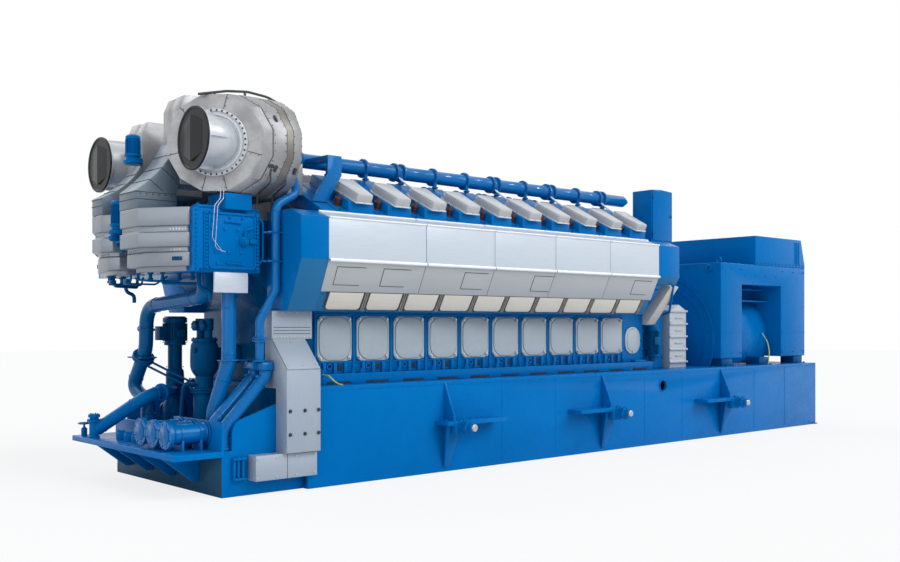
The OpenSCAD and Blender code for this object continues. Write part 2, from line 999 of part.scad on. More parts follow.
actuator_r = 85;
lower_actuator_x = air_x0 + 95;
upper_actuator_x = volute_x0 - 125;
upper_actuator_y = 230;
upper_actuator_z = turbo_z - 110;

module air_actuators() {
    color(main_blue)
        placed() {
            block([lower_actuator_x, -60, cooler_z1 - 200], [cooler_x0, 60, cooler_z1 - 140]);
            translate([lower_actuator_x, 5, cooler_z1 - 230])
                cylinder(h = 140, r = actuator_r + 25);
            translate([lower_actuator_x, 5, cooler_z1 - 90])
                cylinder(h = 230, r = actuator_r);
            block([upper_actuator_x, upper_actuator_y + 20, upper_actuator_z + 30],
                [volute_x0, upper_actuator_y + 90, upper_actuator_z + 90]);
            translate([upper_actuator_x, upper_actuator_y, upper_actuator_z])
                cylinder(h = 120, r = actuator_r + 15);
            translate([upper_actuator_x, upper_actuator_y, upper_actuator_z + 120])
                cylinder(h = 210, r = actuator_r);
        }
}

module cooler_housing() {
    color(main_blue)
        placed()
            block([cooler_x0, -cooler_w / 2, cooler_z0], [cooler_x1, cooler_w / 2, cooler_z1]);
}

cooler_cover_t = 30;

module cooler_covers() {
    color(main_blue)
        placed()
            both_sides() {
                block([cooler_x0 + 60, -cooler_w / 2 - cooler_cover_t, cooler_z0 + 30],
                    [cooler_x1 - 40, -cooler_w / 2, cooler_z1 - 30]);
                block([cooler_x0, -cooler_w / 2 - 2 * cooler_cover_t, cooler_z0],
                    [cooler_x0 + 60, -cooler_w / 2, cooler_z1]);
            }
}

// Front pipework

pipe_x = cooler_x0 + 370;
drop_x = cooler_x0 + 570;
drop_y = -front_w / 2 + 380;
drop_collar_z = 1400;

module water_pipe() {
    color(main_blue)
        placed()
            pipe([
                [pipe_x, -750, cooler_z0], [pipe_x, -750, cooler_z0 - 240], [pipe_x, 680, cooler_z0 - 340],
                [pipe_x, 700, 1500], [pipe_x, 1050, 1050], [pipe_x, 760, 930],
                [pipe_x, 640, 870], [pipe_x, 640, front_h]], water_r);
}

module cooler_drop_pipe() {
    color(main_blue)
        placed() {
            pipe([
                [drop_x, drop_y, cooler_z0], [drop_x, drop_y, drop_collar_z],
                [drop_x - 110, drop_y + 140, 850], [drop_x - 110, drop_y + 140, front_h]], drop_r);
            translate([drop_x, drop_y, drop_collar_z])
                cylinder(h = 24, r = drop_r + 40);
        }
}

supply_x = 70;
supply_y = -front_w / 2 + 110;
supply_step = 195;
supply_low_z = 690;
header_z = 1300;
header_h = 100;
header_x = 640;
header_y = -front_w / 2 + 95;
header_step = 225;

module supply_pipes() {
    color(main_blue)
        placed() {
            for (side = [0, 1])
                pipe([
                    [supply_x, supply_y + side * supply_step, front_h],
                    [supply_x, supply_y + side * supply_step, supply_low_z + side * 60],
                    [header_x - 60, header_y + side * header_step, header_z - 60],
                    [header_x - 60, header_y + side * header_step, header_z]], supply_r);
            block([header_x - 150, header_y - 80, header_z],
                [header_x + 10, header_y + header_step + 80, header_z + header_h]);
        }
}

vent_x = header_x - 120;
vent_y = header_y + 15;
riser_x = cap_x - 60;
riser_y = -1250;

module vent_pipe() {
    color(main_blue)
        placed() {
            pipe([
                [vent_x, vent_y, header_z + header_h], [vent_x, vent_y, slope_z + 200],
                [riser_x, riser_y, hot_z0 + 220],
                [riser_x, riser_y, cooler_z1 + 80], [exhaust_x0 + 100, riser_y + 15, cooler_z1 + 230],
                [exhaust_x0 + 60, riser_y + 25, turbo_z - 300]], vent_r);
            translate([vent_x, vent_y, slope_z - 20])
                cylinder(h = 30, r = vent_r + 30);
        }
}

filter_x = 560;
filter_y = 130;
filter_pot_h = 520;
filter_neck_h = 200;
filter_body_h = 400;

module oil_filter() {
    color(main_blue)
        placed()
            translate([filter_x, filter_y, front_h]) {
                cylinder(h = filter_pot_h, r = filter_r - 35);
                translate([0, 0, filter_pot_h])
                    cylinder(h = 60, r = filter_r);
                translate([0, 0, filter_pot_h + 60])
                    cylinder(h = filter_neck_h - 60, r = filter_r - 60);
                translate([0, 0, filter_pot_h + filter_neck_h])
                    cylinder(h = 110, r1 = filter_r - 60, r2 = filter_r);
                translate([0, 0, filter_pot_h + filter_neck_h + 110])
                    cylinder(h = filter_body_h - 110, r = filter_r);
                translate([0, 0, filter_pot_h + filter_neck_h + filter_body_h])
                    cylinder(h = 40, r = filter_r - 15);
                for (y = [-95, 95])
                    translate([0, y, filter_pot_h + filter_neck_h + filter_body_h + 40])
                        cylinder(h = 230, r = 60);
                translate([0, 0, filter_pot_h + filter_neck_h + 250])
                    rotate([0, 90, 0])
                        cylinder(h = housing_x - filter_x, r = 80);
            }
}

pump_x = 520;
pump_y = 795;
pump_neck_r = 110;
pump_inlet_z = 1016;
pump_pot_h = 400;
pump_neck_h = 390;
pump_lantern_h = 280;
pump_plate_h = 30;
pump_motor_h = 320;
pump_motor_z = pump_pot_h + pump_neck_h + pump_lantern_h + pump_plate_h;
pump_pot_r = 150;

module circulation_pump() {
    color(main_blue)
        placed()
            translate([pump_x, pump_y, front_h]) {
                cylinder(h = pump_pot_h, r = pump_pot_r);
                translate([0, 0, pump_pot_h])
                    cylinder(h = pump_neck_h, r = pump_neck_r);
                translate([0, 0, pump_pot_h + pump_neck_h])
                    cylinder(h = pump_lantern_h, r = pump_pot_r - 65);
                translate([0, 0, pump_motor_z - pump_plate_h])
                    cylinder(h = pump_plate_h, r = pump_pot_r - 20);
                translate([0, 0, pump_motor_z])
                    cylinder(h = pump_motor_h, r = pump_pot_r);
            }
}

// Electrical boxes beside the front housing

duct_x = 652;
duct_y0 = -base_w / 2 - 125;
duct_z0 = 425;
slope_y = -1200;
slope_back = 140;
slope_z = base_h + 530;
shoulder_z = base_h + 210;

module junction_box() {
    color(steel_grey)
        placed()
            block([duct_x, slope_y, slope_z], [duct_x + junction_l, -block_half, slope_z + junction_h]);
}

module cable_duct() {
    color(steel_grey)
        placed() {
            translate([0, 0, duct_z0])
                linear_extrude(height = base_h - duct_z0)
                    polygon([
                        [duct_x, duct_y0], [duct_x + duct_l, duct_y0], [duct_x + duct_l, -base_w / 2],
                        [front_l, -base_w / 2], [front_l, -front_w / 2], [duct_x, -front_w / 2]]);
            along_x(duct_x, duct_x + duct_l, [
                [duct_y0, base_h], [duct_y0, shoulder_z], [slope_y, slope_z],
                [slope_y + slope_back, slope_z], [slope_y + slope_back, base_h]]);
        }
}

foot_duct_x = 305;
foot_duct_z = 160;

module foot_duct() {
    color(steel_grey)
        placed()
            translate([0, 0, foot_duct_z])
                linear_extrude(height = duct_z0 - foot_duct_z)
                    polygon([
                        [foot_duct_x, duct_y0 + 50], [foot_duct_x + foot_duct_l, duct_y0 + 50],
                        [foot_duct_x + foot_duct_l, -base_w / 2], [front_l, -base_w / 2],
                        [front_l, -front_w / 2], [foot_duct_x, -front_w / 2]]);
}

module blank_plate() {
    color(silver)
        placed()
            block([cooler_x0 + 270, -cooler_w / 2, cooler_z0 - 215],
                [cooler_x0 + 670, -cooler_w / 2 + 25, cooler_z0]);
}

// Flywheel end

flywheel_half = block_half - 70;
flywheel_z1 = hot_z1 + 60;
flywheel_x0 = block_end + foot_out;

module flywheel_housing() {
    color(main_blue)
        placed()
            along_y(-flywheel_half, flywheel_half, [
                [flywheel_x0, base_h], [flywheel_x1, base_h], [flywheel_x1, flywheel_z1],
                [block_end, flywheel_z1], [block_end, foot_top], [flywheel_x0, foot_top]]);
}

// A round guard about the shaft line, cut flat on the base frame
module shaft_guard(x0, x1, r) {
    intersection() {
        translate([x0, 0, crank_z])
            rotate([0, 90, 0])
                cylinder(h = x1 - x0, r = r);
        block([x0 - 1, -base_w / 2, base_h], [x1 + 1, base_w / 2, crank_z + 2 * r]);
    }
}

guard_x1 = flywheel_x1 + guard_l;
bell_t = 30;

module flywheel_guards() {
    color(main_blue)
        placed() {
            shaft_guard(flywheel_x1, guard_x1, guard_r);
            shaft_guard(guard_x1, gen_x0 - bell_t, 0.62 * guard_r);
        }
}

ribbed_l = 440;
ribbed_h = 1010;
ribbed_gap = 10;
ribbed_y0 = -guard_r - ribbed_gap - ribbed_w;
ribs = 5;

module ribbed_cover() {
    color(steel_grey)
        placed()
            translate([flywheel_x1 + 50, ribbed_y0, base_h]) {
                along_y(0, ribbed_w, [
                    [0, 0], [ribbed_l, 0], [ribbed_l, ribbed_h - 90],
                    [0.55 * ribbed_l, ribbed_h], [0.1 * ribbed_l, ribbed_h - 90], [0, ribbed_h - 90]]);
                for (i = [0 : ribs - 1])
                    block([-20, -30, 80 + i * (ribbed_h - 200) / (ribs - 1)],
                        [ribbed_l + 10, 0, 110 + i * (ribbed_h - 200) / (ribs - 1)]);
            }
}

cabinet_x = block_end + 190;
cabinet_y = -flywheel_half - 100;

module control_cabinet() {
    color(main_blue)
        placed()
            block([cabinet_x, cabinet_y, flywheel_z1],
                [cabinet_x + cabinet_l, cabinet_y + cabinet_w, flywheel_z1 + cabinet_h]);
}

module turning_gear() {
    color(main_blue)
        placed()
            translate([block_end + 200, -flywheel_half - 110, foot_top]) {
                translate([0, 0, 80])
                    cylinder(h = 480, r = 100);
                cylinder(h = 80, r = 60);
                block([-90, 0, 180], [90, 110, 420]);
            }
}

tray_x0 = block_end;
tray_l = 200;

module cable_tray() {
    color(cream)
        placed()
            both_sides()
                along_x(tray_x0, tray_x0 + tray_l, [
                    [-1050, base_h + 690], [-1500, base_h + 1260], [-1360, base_h + 1310],
                    [-flywheel_half, base_h + 780], [-flywheel_half, base_h + 690]]);
}

// Generator

window_x0 = gen_x0 + 630;
window_x1 = window_x0 + window_l;
window_h = 1240;
window_z1 = gen_z0 + window_h;
window_in = 600;
stator_r = gen_w / 2 - stator_in;
stator_cut = 960;

module generator_frame() {
    color(main_blue)
        placed()
            difference() {
                block([gen_x0, -gen_w / 2, gen_z0], [gen_x1, gen_w / 2, gen_z1]);
                both_sides()
                    block([window_x0, -gen_w / 2 - 1, gen_z0 - 1], [window_x1, -window_in, window_z1]);
            }
}

module generator_stator() {
    color(main_blue)
        placed()
            both_sides()
                intersection() {
                    translate([window_x0, 0, crank_z])
                        rotate([0, 90, 0])
                            cylinder(h = window_l, r = stator_r);
                    block([window_x0, -gen_w / 2, base_h + 20], [window_x1, -window_in, gen_z0 + stator_cut]);
                }
}

hood_slant = 130;

module generator_hood() {
    color(main_blue)
        placed()
            along_y(-gen_w / 2, gen_w / 2, [
                [gen_x1 - hood_l, gen_z1], [gen_x1, gen_z1], [gen_x1, gen_z1 + 60],
                [gen_x1 - hood_slant, gen_z1 + hood_h], [gen_x1 - hood_l, gen_z1 + hood_h]]);
}

module generator_bell() {
    color(main_blue)
        placed()
            shaft_guard(gen_x0 - bell_t, gen_x0, bell_r);
}

gen_foot_l = 300;
gen_foot_w = 260;
gen_foot_count = 3;

module generator_feet() {
    color(main_blue)
        placed()
            both_sides()
                for (i = [0 : gen_foot_count - 1])
                    translate([gen_x0 + 60 + i * (gen_l - 120 - gen_foot_l) / (gen_foot_count - 1), 0, 0])
                        block([0, -gen_w / 2 + 20, base_h],
                            [gen_foot_l, -gen_w / 2 + 20 + gen_foot_w, gen_z0]);
}

base_girders();
base_cross_members();
base_deck();
base_floor_plate();
front_frame();
base_brackets();
bracket_jacks();
pipe_rack();
service_pipes();
rack_valves();
engine_feet();
engine_block();
front_housing();
crankcase_doors();
hot_box_frames();
upper_covers();
lower_covers();
window_covers();
bank_end_covers();
cylinder_heads();
rocker_covers();
ignition_coils();
gas_pipes();
exhaust_casing();
turbo_casings();
turbo_outlets();
blanking_plates();
turbo_brackets();
air_ducts();
air_actuators();
air_boxes();
cooler_housing();
cooler_covers();
water_pipe();
cooler_drop_pipe();
supply_pipes();
vent_pipe();
oil_filter();
circulation_pump();
junction_box();
cable_duct();
foot_duct();
blank_plate();
flywheel_housing();
flywheel_guards();
ribbed_cover();
control_cabinet();
turning_gear();
cable_tray();
generator_frame();
generator_stator();
generator_hood();
generator_bell();
generator_feet();
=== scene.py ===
# %% [markdown]
# # A dual-fuel generator set, dressed in Blender
#
# The engine, its turbochargers and the generator come packed as plain solids on one steel
# base frame. This lesson gives them their looks: paint, sheet metal, bolts, bent pipes and
# cables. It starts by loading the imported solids, which stay where they are. Every new piece
# is built in their frame, where it belongs, so nothing has to be moved into line afterwards.

import math

import bmesh
import bpy
from mathutils import Matrix, Vector


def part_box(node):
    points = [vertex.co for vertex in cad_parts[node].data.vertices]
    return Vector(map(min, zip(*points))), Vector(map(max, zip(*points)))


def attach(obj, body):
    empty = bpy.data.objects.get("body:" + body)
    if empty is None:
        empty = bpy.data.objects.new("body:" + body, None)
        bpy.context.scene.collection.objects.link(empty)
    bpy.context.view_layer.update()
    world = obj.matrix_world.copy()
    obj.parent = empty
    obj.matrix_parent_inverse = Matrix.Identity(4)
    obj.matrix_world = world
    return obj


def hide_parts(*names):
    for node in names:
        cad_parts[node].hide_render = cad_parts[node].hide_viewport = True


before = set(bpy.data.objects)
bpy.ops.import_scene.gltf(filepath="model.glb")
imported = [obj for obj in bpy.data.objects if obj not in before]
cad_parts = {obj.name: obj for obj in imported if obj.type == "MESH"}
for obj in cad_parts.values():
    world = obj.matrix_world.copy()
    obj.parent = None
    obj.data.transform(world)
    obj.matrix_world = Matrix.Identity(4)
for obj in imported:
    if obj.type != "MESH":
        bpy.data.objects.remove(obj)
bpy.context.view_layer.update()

# %% [markdown]
# ## Where things are
#
# An engine builder measures from the front end of the base frame. `at()` does the same: it
# takes millimetres from that end, so that its numbers are those of a works drawing. The
# near side of the engine is the negative Y side, and most of what is there repeats on the
# far side, which `SIDES` stands for.

# %% Stations along the engine
MM = 0.001
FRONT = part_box("front_frame")[0].x
SIDES = (1, -1)
UP = (0, 0, 1)


def at(x, y, z):
    """A point in the frame, from millimetres behind the base frame's front end."""
    return Vector((FRONT + x * MM, y * MM, z * MM))


def course(*points, side=1):
    """The points of a route, or two corners of a box, with Y counted outwards on that side."""
    return [at(x, side * y, z) for x, y, z in points]


BASE_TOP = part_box("base_girders")[1].z
BASE_SIDE = -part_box("base_girders")[0].y
PITCH = 560
BLOCK_X = 1350
CYLINDERS = 10
BLOCK_SIDE = 970
CRANK_Z = 1550
BANK_TILT = math.radians(27.5)


def station(i):
    """How far behind the front end the middle of cylinder i stands."""
    return BLOCK_X + (i + 0.5) * PITCH


print("frame top", round(BASE_TOP, 3), "half width", round(BASE_SIDE, 3))

# %% [markdown]
# ## The camera
#
# The camera stands to the left of the near side at eye height and looks level, so upright
# edges stay upright. The picture is moved up a little with the lens shift, as on a view
# camera, in place of tilting the camera.

# %% Camera
camera_data = bpy.data.cameras.new("camera")
camera_data.sensor_width = 36
camera_data.lens = 40.45
camera_data.shift_y = 0.0489
camera_data.clip_end = 200
camera = bpy.data.objects.new("camera", camera_data)
camera.location = at(-5210.3, -10641.8, 1794)
camera.rotation_euler = (math.radians(90), 0, math.radians(-41.826))
bpy.context.scene.collection.objects.link(camera)
bpy.context.scene.camera = camera
print("camera", [round(v, 2) for v in camera.location])

# %% [markdown]
# ## Light and floor
#
# A large machine shows its shapes best in an even light on a white ground. Three broad suns
# stand in for a softbox over the near side, a fill from the front and a rim from behind. A
# narrow one draws the bright lines along pipes and edges. The world lights softly as well,
# and the camera, reflections and glass see it as white. The floor is a pale plane that
# keeps the engine's shadow.

# %% Suns
SUNS = (
    # name, direction, strength, spread in degrees
    ("key_sun", (-0.30, 1.0, -0.80), 1.58, 40),
    ("glint_sun", (-0.72, 0.45, -0.53), 0.45, 6),
    ("fill_sun", (1.0, 0.45, -0.35), 0.72, 60),
    ("back_sun", (0.15, -1.0, -0.9), 0.7, 50),
)
for name, towards, strength, spread in SUNS:
    data = bpy.data.lights.new(name, "SUN")
    data.energy = strength
    data.angle = math.radians(spread)
    lamp = bpy.data.objects.new(name, data)
    lamp.rotation_euler = Vector(towards).to_track_quat("-Z", "Y").to_euler()
    bpy.context.scene.collection.objects.link(lamp)
    print(name, "shines along", towards)

# %% World
WHITE = (1, 1, 1, 1)


def wired(tree, kind, inputs, **settings):
    """A shader node. Each input gets a value, or is wired to another node's output."""
    node = tree.nodes.new(kind)
    for key, value in settings.items():
        setattr(node, key, value)
    for socket, value in inputs.items():
        if isinstance(value, bpy.types.NodeSocket):
            tree.links.new(value, node.inputs[socket])
        else:
            node.inputs[socket].default_value = value
    return node.outputs


def empty_tree(owner):
    """The node tree of a world or a material, with nothing in it yet."""
    owner.use_nodes = True
    owner.node_tree.nodes.clear()
    return owner.node_tree


world = bpy.data.worlds.new("studio")
bpy.context.scene.world = world
tree = empty_tree(world)
rays = wired(tree, "ShaderNodeLightPath", {})
soft_light = wired(tree, "ShaderNodeBackground", {"Color": (0.86, 0.92, 1.0, 1), "Strength": 0.42})
white_card = wired(tree, "ShaderNodeBackground", {"Color": WHITE, "Strength": 1.0})
seen = wired(tree, "ShaderNodeMath", {0: rays["Is Camera Ray"], 1: rays["Is Glossy Ray"]}, operation="MAXIMUM")
seen = wired(tree, "ShaderNodeMath", {0: seen[0], 1: rays["Is Transmission Ray"]}, operation="MAXIMUM")
mix = wired(tree, "ShaderNodeMixShader", {"Fac": seen[0], 1: soft_light[0], 2: white_card[0]})
wired(tree, "ShaderNodeOutputWorld", {"Surface": mix[0]})
bpy.context.scene.view_settings.view_transform = "Standard"
print("world nodes:", len(tree.nodes))

# %% Floor
FLOOR_HALF = 60

floor_material = bpy.data.materials.new("pale_floor")
tree = empty_tree(floor_material)
rays = wired(tree, "ShaderNodeLightPath", {})
share = wired(tree, "ShaderNodeMath", {0: rays["Is Camera Ray"], 1: 0.80}, operation="MULTIPLY")
matt = wired(tree, "ShaderNodeBsdfDiffuse", {"Color": (0.88, 0.88, 0.88, 1)})
glow = wired(tree, "ShaderNodeEmission", {"Color": WHITE, "Strength": 1.0})
mix = wired(tree, "ShaderNodeMixShader", {"Fac": share[0], 1: matt[0], 2: glow[0]})
wired(tree, "ShaderNodeOutputMaterial", {"Surface": mix[0]})

floor_bm = bmesh.new()
bmesh.ops.create_grid(floor_bm, x_segments=1, y_segments=1, size=FLOOR_HALF)
floor_mesh = bpy.data.meshes.new("floor")
floor_bm.to_mesh(floor_mesh)
floor_bm.free()
floor_mesh.materials.append(floor_material)
floor = bpy.data.objects.new("floor", floor_mesh)
bpy.context.scene.collection.objects.link(floor)
print("floor half width:", FLOOR_HALF, "m")

# %% [markdown]
# ## Finishes
#
# Every finish is worked out from the piece's own coordinates, with no pictures. `Shader`
# is a small helper that adds nodes and wires them up, so that each finish below reads as a
# list of what the real surface shows: cloudy colour, streaks or a grain, and a roughness
# that changes with them. Values that are the same all over are set straight on the shader.

# %% A small helper for shader nodes


def toned(colour, share):
    """A colour made darker or paler."""
    return tuple(min(1, c * share) for c in colour)


class Shader:
    """One material and the few node patterns that the finishes share."""

    def __init__(self, name, colour, **uniform):
        self.material = bpy.data.materials.new(name)
        self.material.use_nodes = True
        self.material.diffuse_color = (*colour, 1)
        self.tree = self.material.node_tree
        self.surface = self.tree.nodes["Principled BSDF"]
        self.surface.inputs["Base Color"].default_value = (*colour, 1)
        for socket, value in uniform.items():
            self.surface.inputs[socket.replace("_", " ")].default_value = value
        self.coordinates = wired(self.tree, "ShaderNodeTexCoord", {})["Object"]

    def noise(self, scale, detail=4.0, stretch=(1, 1, 1), rough=0.5):
        """Clouds in the piece's own coordinates, closer together along some axes."""
        where = wired(self.tree, "ShaderNodeMapping", {"Vector": self.coordinates, "Scale": stretch})
        values = {"Vector": where["Vector"], "Scale": scale, "Detail": detail, "Roughness": rough}
        return wired(self.tree, "ShaderNodeTexNoise", values)["Fac"]

    def ramp(self, value, *stops):
        """Two colours along a value from 0 to 1."""
        node = self.tree.nodes.new("ShaderNodeValToRGB")
        for element, (place, colour) in zip(node.color_ramp.elements, stops):
            element.position = place
            element.color = (*colour, 1)
        self.tree.links.new(value, node.inputs["Fac"])
        return node.outputs["Color"]

    def between(self, value, low, high, start=0.3, end=0.7):
        """A value spread out between two limits."""
        values = {"Value": value, "From Min": start, "From Max": end, "To Min": low, "To Max": high}
        return wired(self.tree, "ShaderNodeMapRange", values)["Result"]

    def blended(self, share, first, second):
        """A colour output mixed with one even colour."""
        return wired(self.tree, "ShaderNodeMix", {0: share, 6: first, 7: (*second, 1)}, data_type="RGBA")[2]

    def set(self, socket, value):
        """Wires an output to one of the surface's inputs."""
        self.tree.links.new(value, self.surface.inputs[socket])

    def bump(self, height, depth, strength):
        """Raises the surface by depth, in metres, where the height is 1."""
        values = {"Height": height, "Distance": depth, "Strength": strength}
        self.set("Normal", wired(self.tree, "ShaderNodeBump", values)["Normal"])


print("shader helper ready")

# %% [markdown]
# ### Enamel
#
# The castings and the steelwork are sprayed with two coats of blue enamel. From close by it
# has a fine orange peel, and over a metre or two its colour drifts slightly, where a hand
# held gun laid more or less paint. A clear coat gives the sharp reflections. The castings
# get a deeper peel than the flat plates, because the sand mould leaves its grain under the
# paint.

# %% Enamel for plates and for castings
DRIFT = 0.07
DEEP_PEEL = 0.0006


def enamel(name, colour, peel, rough, gloss=0.03):
    """Sprayed paint, its peel in metres and its clear coat as a share."""
    shader = Shader(name, colour, Coat_Weight=gloss, Coat_Roughness=0.08, IOR=1.20, Specular_IOR_Level=0.55,
                    Specular_Tint=(0.0, 0.50, 1.0, 1))
    clouds = shader.noise(0.7, 2.0, (1, 1, 1.6))
    tones = (0.30, toned(colour, 1 - DRIFT)), (0.70, toned(colour, 1 + DRIFT))
    shader.set("Base Color", shader.ramp(clouds, *tones))
    shader.set("Roughness", shader.between(shader.noise(5, 3.0), rough - 0.05, rough + 0.08))
    shader.bump(shader.noise(240 if peel < DEEP_PEEL else 120, 3.0), peel, 0.4)
    return shader.material


BLUE = enamel("blue_enamel", (0.0, 0.146, 0.445), 0.0003, 0.27)
CAST_BLUE = enamel("blue_casting", (0.0, 0.137, 0.410), 0.0010, 0.30)
DEEP_BLUE = enamel("deep_blue_enamel", (0.0, 0.078, 0.215), 0.0008, 0.26)
PIPE_BLUE = enamel("pipe_blue_enamel", (0.0, 0.138, 0.410), 0.0004, 0.18, 0.35)
# Partly a darker paint and partly painted shade: the water pipe lies in the shade in front of the engine.
WATER_BLUE_SHADED = enamel("water_pipe_enamel_and_painted_shade", (0.0, 0.100, 0.280), 0.0004, 0.20, 0.25)
# Painted shade: a darker blue for the downward faces of the hot box ends.
UNDER_BLUE = enamel("shaded_blue_enamel", (0.024, 0.150, 0.330), 0.0003, 0.30)
# Painted shade: a darker blue for the front face of the platform frame, which lies in the shade of the rack.
SHADED_BLUE = enamel("platform_front_painted_shade", (0.020, 0.075, 0.130), 0.0003, 0.30)
print("enamels:", BLUE.name, CAST_BLUE.name, DEEP_BLUE.name)

# %% [markdown]
# ### Sheet metal
#
# The covers over the hot boxes are aluminium sheet with a light silver-grey lacquer. Rolling leaves faint long streaks
# in it, so the noise is stretched along the sheet. The lower covers get a darker copy of the lacquer as painted shade,
# because they face partly downwards. The insulation cassettes on the turbochargers are bare stainless steel, brighter,
# cloudier and slightly browned near the hottest joint.

# %% Silver lacquer, bare cassettes and box sheet


def lacquered_sheet(name, colour, metal, rough, streak=(0.6, 14, 14)):
    """Lacquer over rolled sheet, with streaks closer together where the numbers are larger."""
    shader = Shader(name, colour, Metallic=metal, Coat_Weight=0.15, Coat_Roughness=0.2)
    rolled = shader.noise(7, 4.0, streak)
    clouds = shader.between(shader.noise(1.3, 3.0), 0, 0.12)
    base = shader.ramp(rolled, (0.25, toned(colour, 0.95)), (0.75, toned(colour, 1.04)))
    shader.set("Base Color", shader.blended(clouds, base, toned(colour, 0.88)))
    shader.set("Roughness", shader.between(rolled, rough - 0.05, rough + 0.08))
    shader.bump(shader.noise(90, 2.0, streak), 0.0002, 0.4)
    return shader.material


def cassette_sheet(name, colour, stain, amount):
    """Bare stainless sheet with stained clouds."""
    shader = Shader(name, colour, Metallic=0.55)
    clouds = shader.noise(3.2, 5.0, rough=0.6)
    base = shader.ramp(shader.noise(30, 4.0, (1, 1, 5)), (0.3, toned(colour, 0.9)), (0.7, toned(colour, 1.06)))
    shader.set("Base Color", shader.blended(shader.between(clouds, 0, amount, 0.42, 0.66), base, stain))
    shader.set("Roughness", shader.between(clouds, 0.34, 0.52))
    shader.bump(clouds, 0.004, 0.5)
    return shader.material


SILVER = lacquered_sheet("silver_lacquer", (0.56, 0.62, 0.69), 0.15, 0.36)
# Painted shade: a darker copy of the silver lacquer for the lower covers, which face partly downwards.
SILVER_SHADED = lacquered_sheet("silver_lacquer_painted_shade", (0.43, 0.45, 0.455), 0.15, 0.40)
# Pale trim; on the rolled edges of the covers its paleness is a painted highlight.
TRIM_AND_HIGHLIGHT = lacquered_sheet("pale_trim_and_painted_highlight", (0.84, 0.87, 0.90), 0.05, 0.28)
DOOR = lacquered_sheet("door_casting", (0.395, 0.455, 0.50), 0.25, 0.42, (3, 3, 3))
CREAM = lacquered_sheet("cream_panel", (0.62, 0.59, 0.52), 0.05, 0.45)
GREY = lacquered_sheet("grey_sheet", (0.34, 0.40, 0.47), 0.20, 0.42, (8, 8, 0.7))
DUCT = lacquered_sheet("duct_sheet", (0.115, 0.160, 0.205), 0.25, 0.40, (6, 6, 1))
CASSETTE = cassette_sheet("bare_cassette", (0.345, 0.352, 0.363), (0.225, 0.228, 0.232), 0.7)
BROWNED = cassette_sheet("browned_cassette", (0.22, 0.21, 0.19), (0.15, 0.135, 0.115), 0.8)
AIR_BOX = lacquered_sheet("air_box_sheet", (0.25, 0.28, 0.32), 0.45, 0.36, (6, 6, 2))
GREY_LIGHT = lacquered_sheet("light_grey_casting", (0.44, 0.48, 0.52), 0.10, 0.42, (4, 4, 4))
COVER_WHITE = lacquered_sheet("cover_lacquer", (0.74, 0.74, 0.73), 0.05, 0.34)
COVER_SHEET = lacquered_sheet("rocker_cover_sheet", (0.55, 0.56, 0.57), 0.12, 0.34, (5, 5, 5))
OUTLET = lacquered_sheet("outlet_sheet", (0.54, 0.57, 0.60), 0.25, 0.34, (5, 5, 5))
print("sheets:", SILVER.name, CREAM.name, GREY.name, CASSETTE.name)

# %% [markdown]
# ### Small things
#
# Bolts and clamps are zinc plated, cable jackets are black rubber, the ignition coils are
# cast in a red-brown resin, and the blanking plates over the exhaust openings are a black
# moulding with a soft gloss.

# %% Zinc, black moulding, rubber and resin


def small_finish(name, colour, metal, rough, grain, depth, second=None, gloss=0.5):
    """A mottled finish of two tones, the second one darker unless it is given."""
    shader = Shader(name, colour, Metallic=metal, Specular_IOR_Level=gloss)
    mottle = shader.noise(grain, 4.0)
    shader.set("Base Color", shader.ramp(mottle, (0.35, second or toned(colour, 0.72)), (0.65, colour)))
    shader.set("Roughness", shader.between(mottle, rough + 0.08, rough - 0.05))
    shader.bump(shader.noise(grain * 3, 3.0), depth, 0.5)
    return shader.material


ZINC = small_finish("zinc_plate", (0.62, 0.64, 0.66), 0.85, 0.35, 60, 0.0003)
BLACK = small_finish("black_moulding", (0.030, 0.033, 0.036), 0.0, 0.22, 14, 0.0004)
DISC = small_finish("disc_moulding", (0.020, 0.023, 0.025), 0.0, 0.22, 2.5, 0.00005, (0.016, 0.019, 0.020), 0.12)
DARK_METAL = small_finish("dark_metal", (0.050, 0.056, 0.064), 0.45, 0.42, 40, 0.0005)
RUBBER = small_finish("black_rubber", (0.020, 0.020, 0.022), 0.0, 0.55, 90, 0.0004)
COIL = small_finish("coil_resin", (0.095, 0.022, 0.014), 0.0, 0.35, 70, 0.0005)
EARTH = small_finish("earth_wire", (0.55, 0.62, 0.10), 0.0, 0.45, 12, 0.0003, (0.35, 0.50, 0.12))
# Painted shade for bores, pockets and gaps.
SHADOW = small_finish("painted_gap_shade", (0.004, 0.022, 0.062), 0.0, 0.85, 20, 0.0003)
POST = small_finish("post_strip", (0.24, 0.23, 0.20), 0.0, 0.50, 20, 0.0003)
# Dark gasket colour for seams and joints; on the hatches it paints the shade in their gaps.
GASKET_AND_GAP_SHADE = small_finish("gasket_and_gap_shade", (0.060, 0.062, 0.066), 0.0, 0.70, 50, 0.0003)
print("small finishes:", len(bpy.data.materials), "materials in all")

# %% [markdown]

# %% [markdown]
# ## Making pieces
#
# Each piece is one mesh. It is started with bmesh's own shapes, and `finished()` turns it
# into an object: it makes the faces point outwards, marks the sharp edges, gives the
# finish and ties the piece to the imported body. Pieces that stand in for a imported solid name
# it, and the solid is then hidden but stays in the collision model.

# %% From bmesh to a finished piece


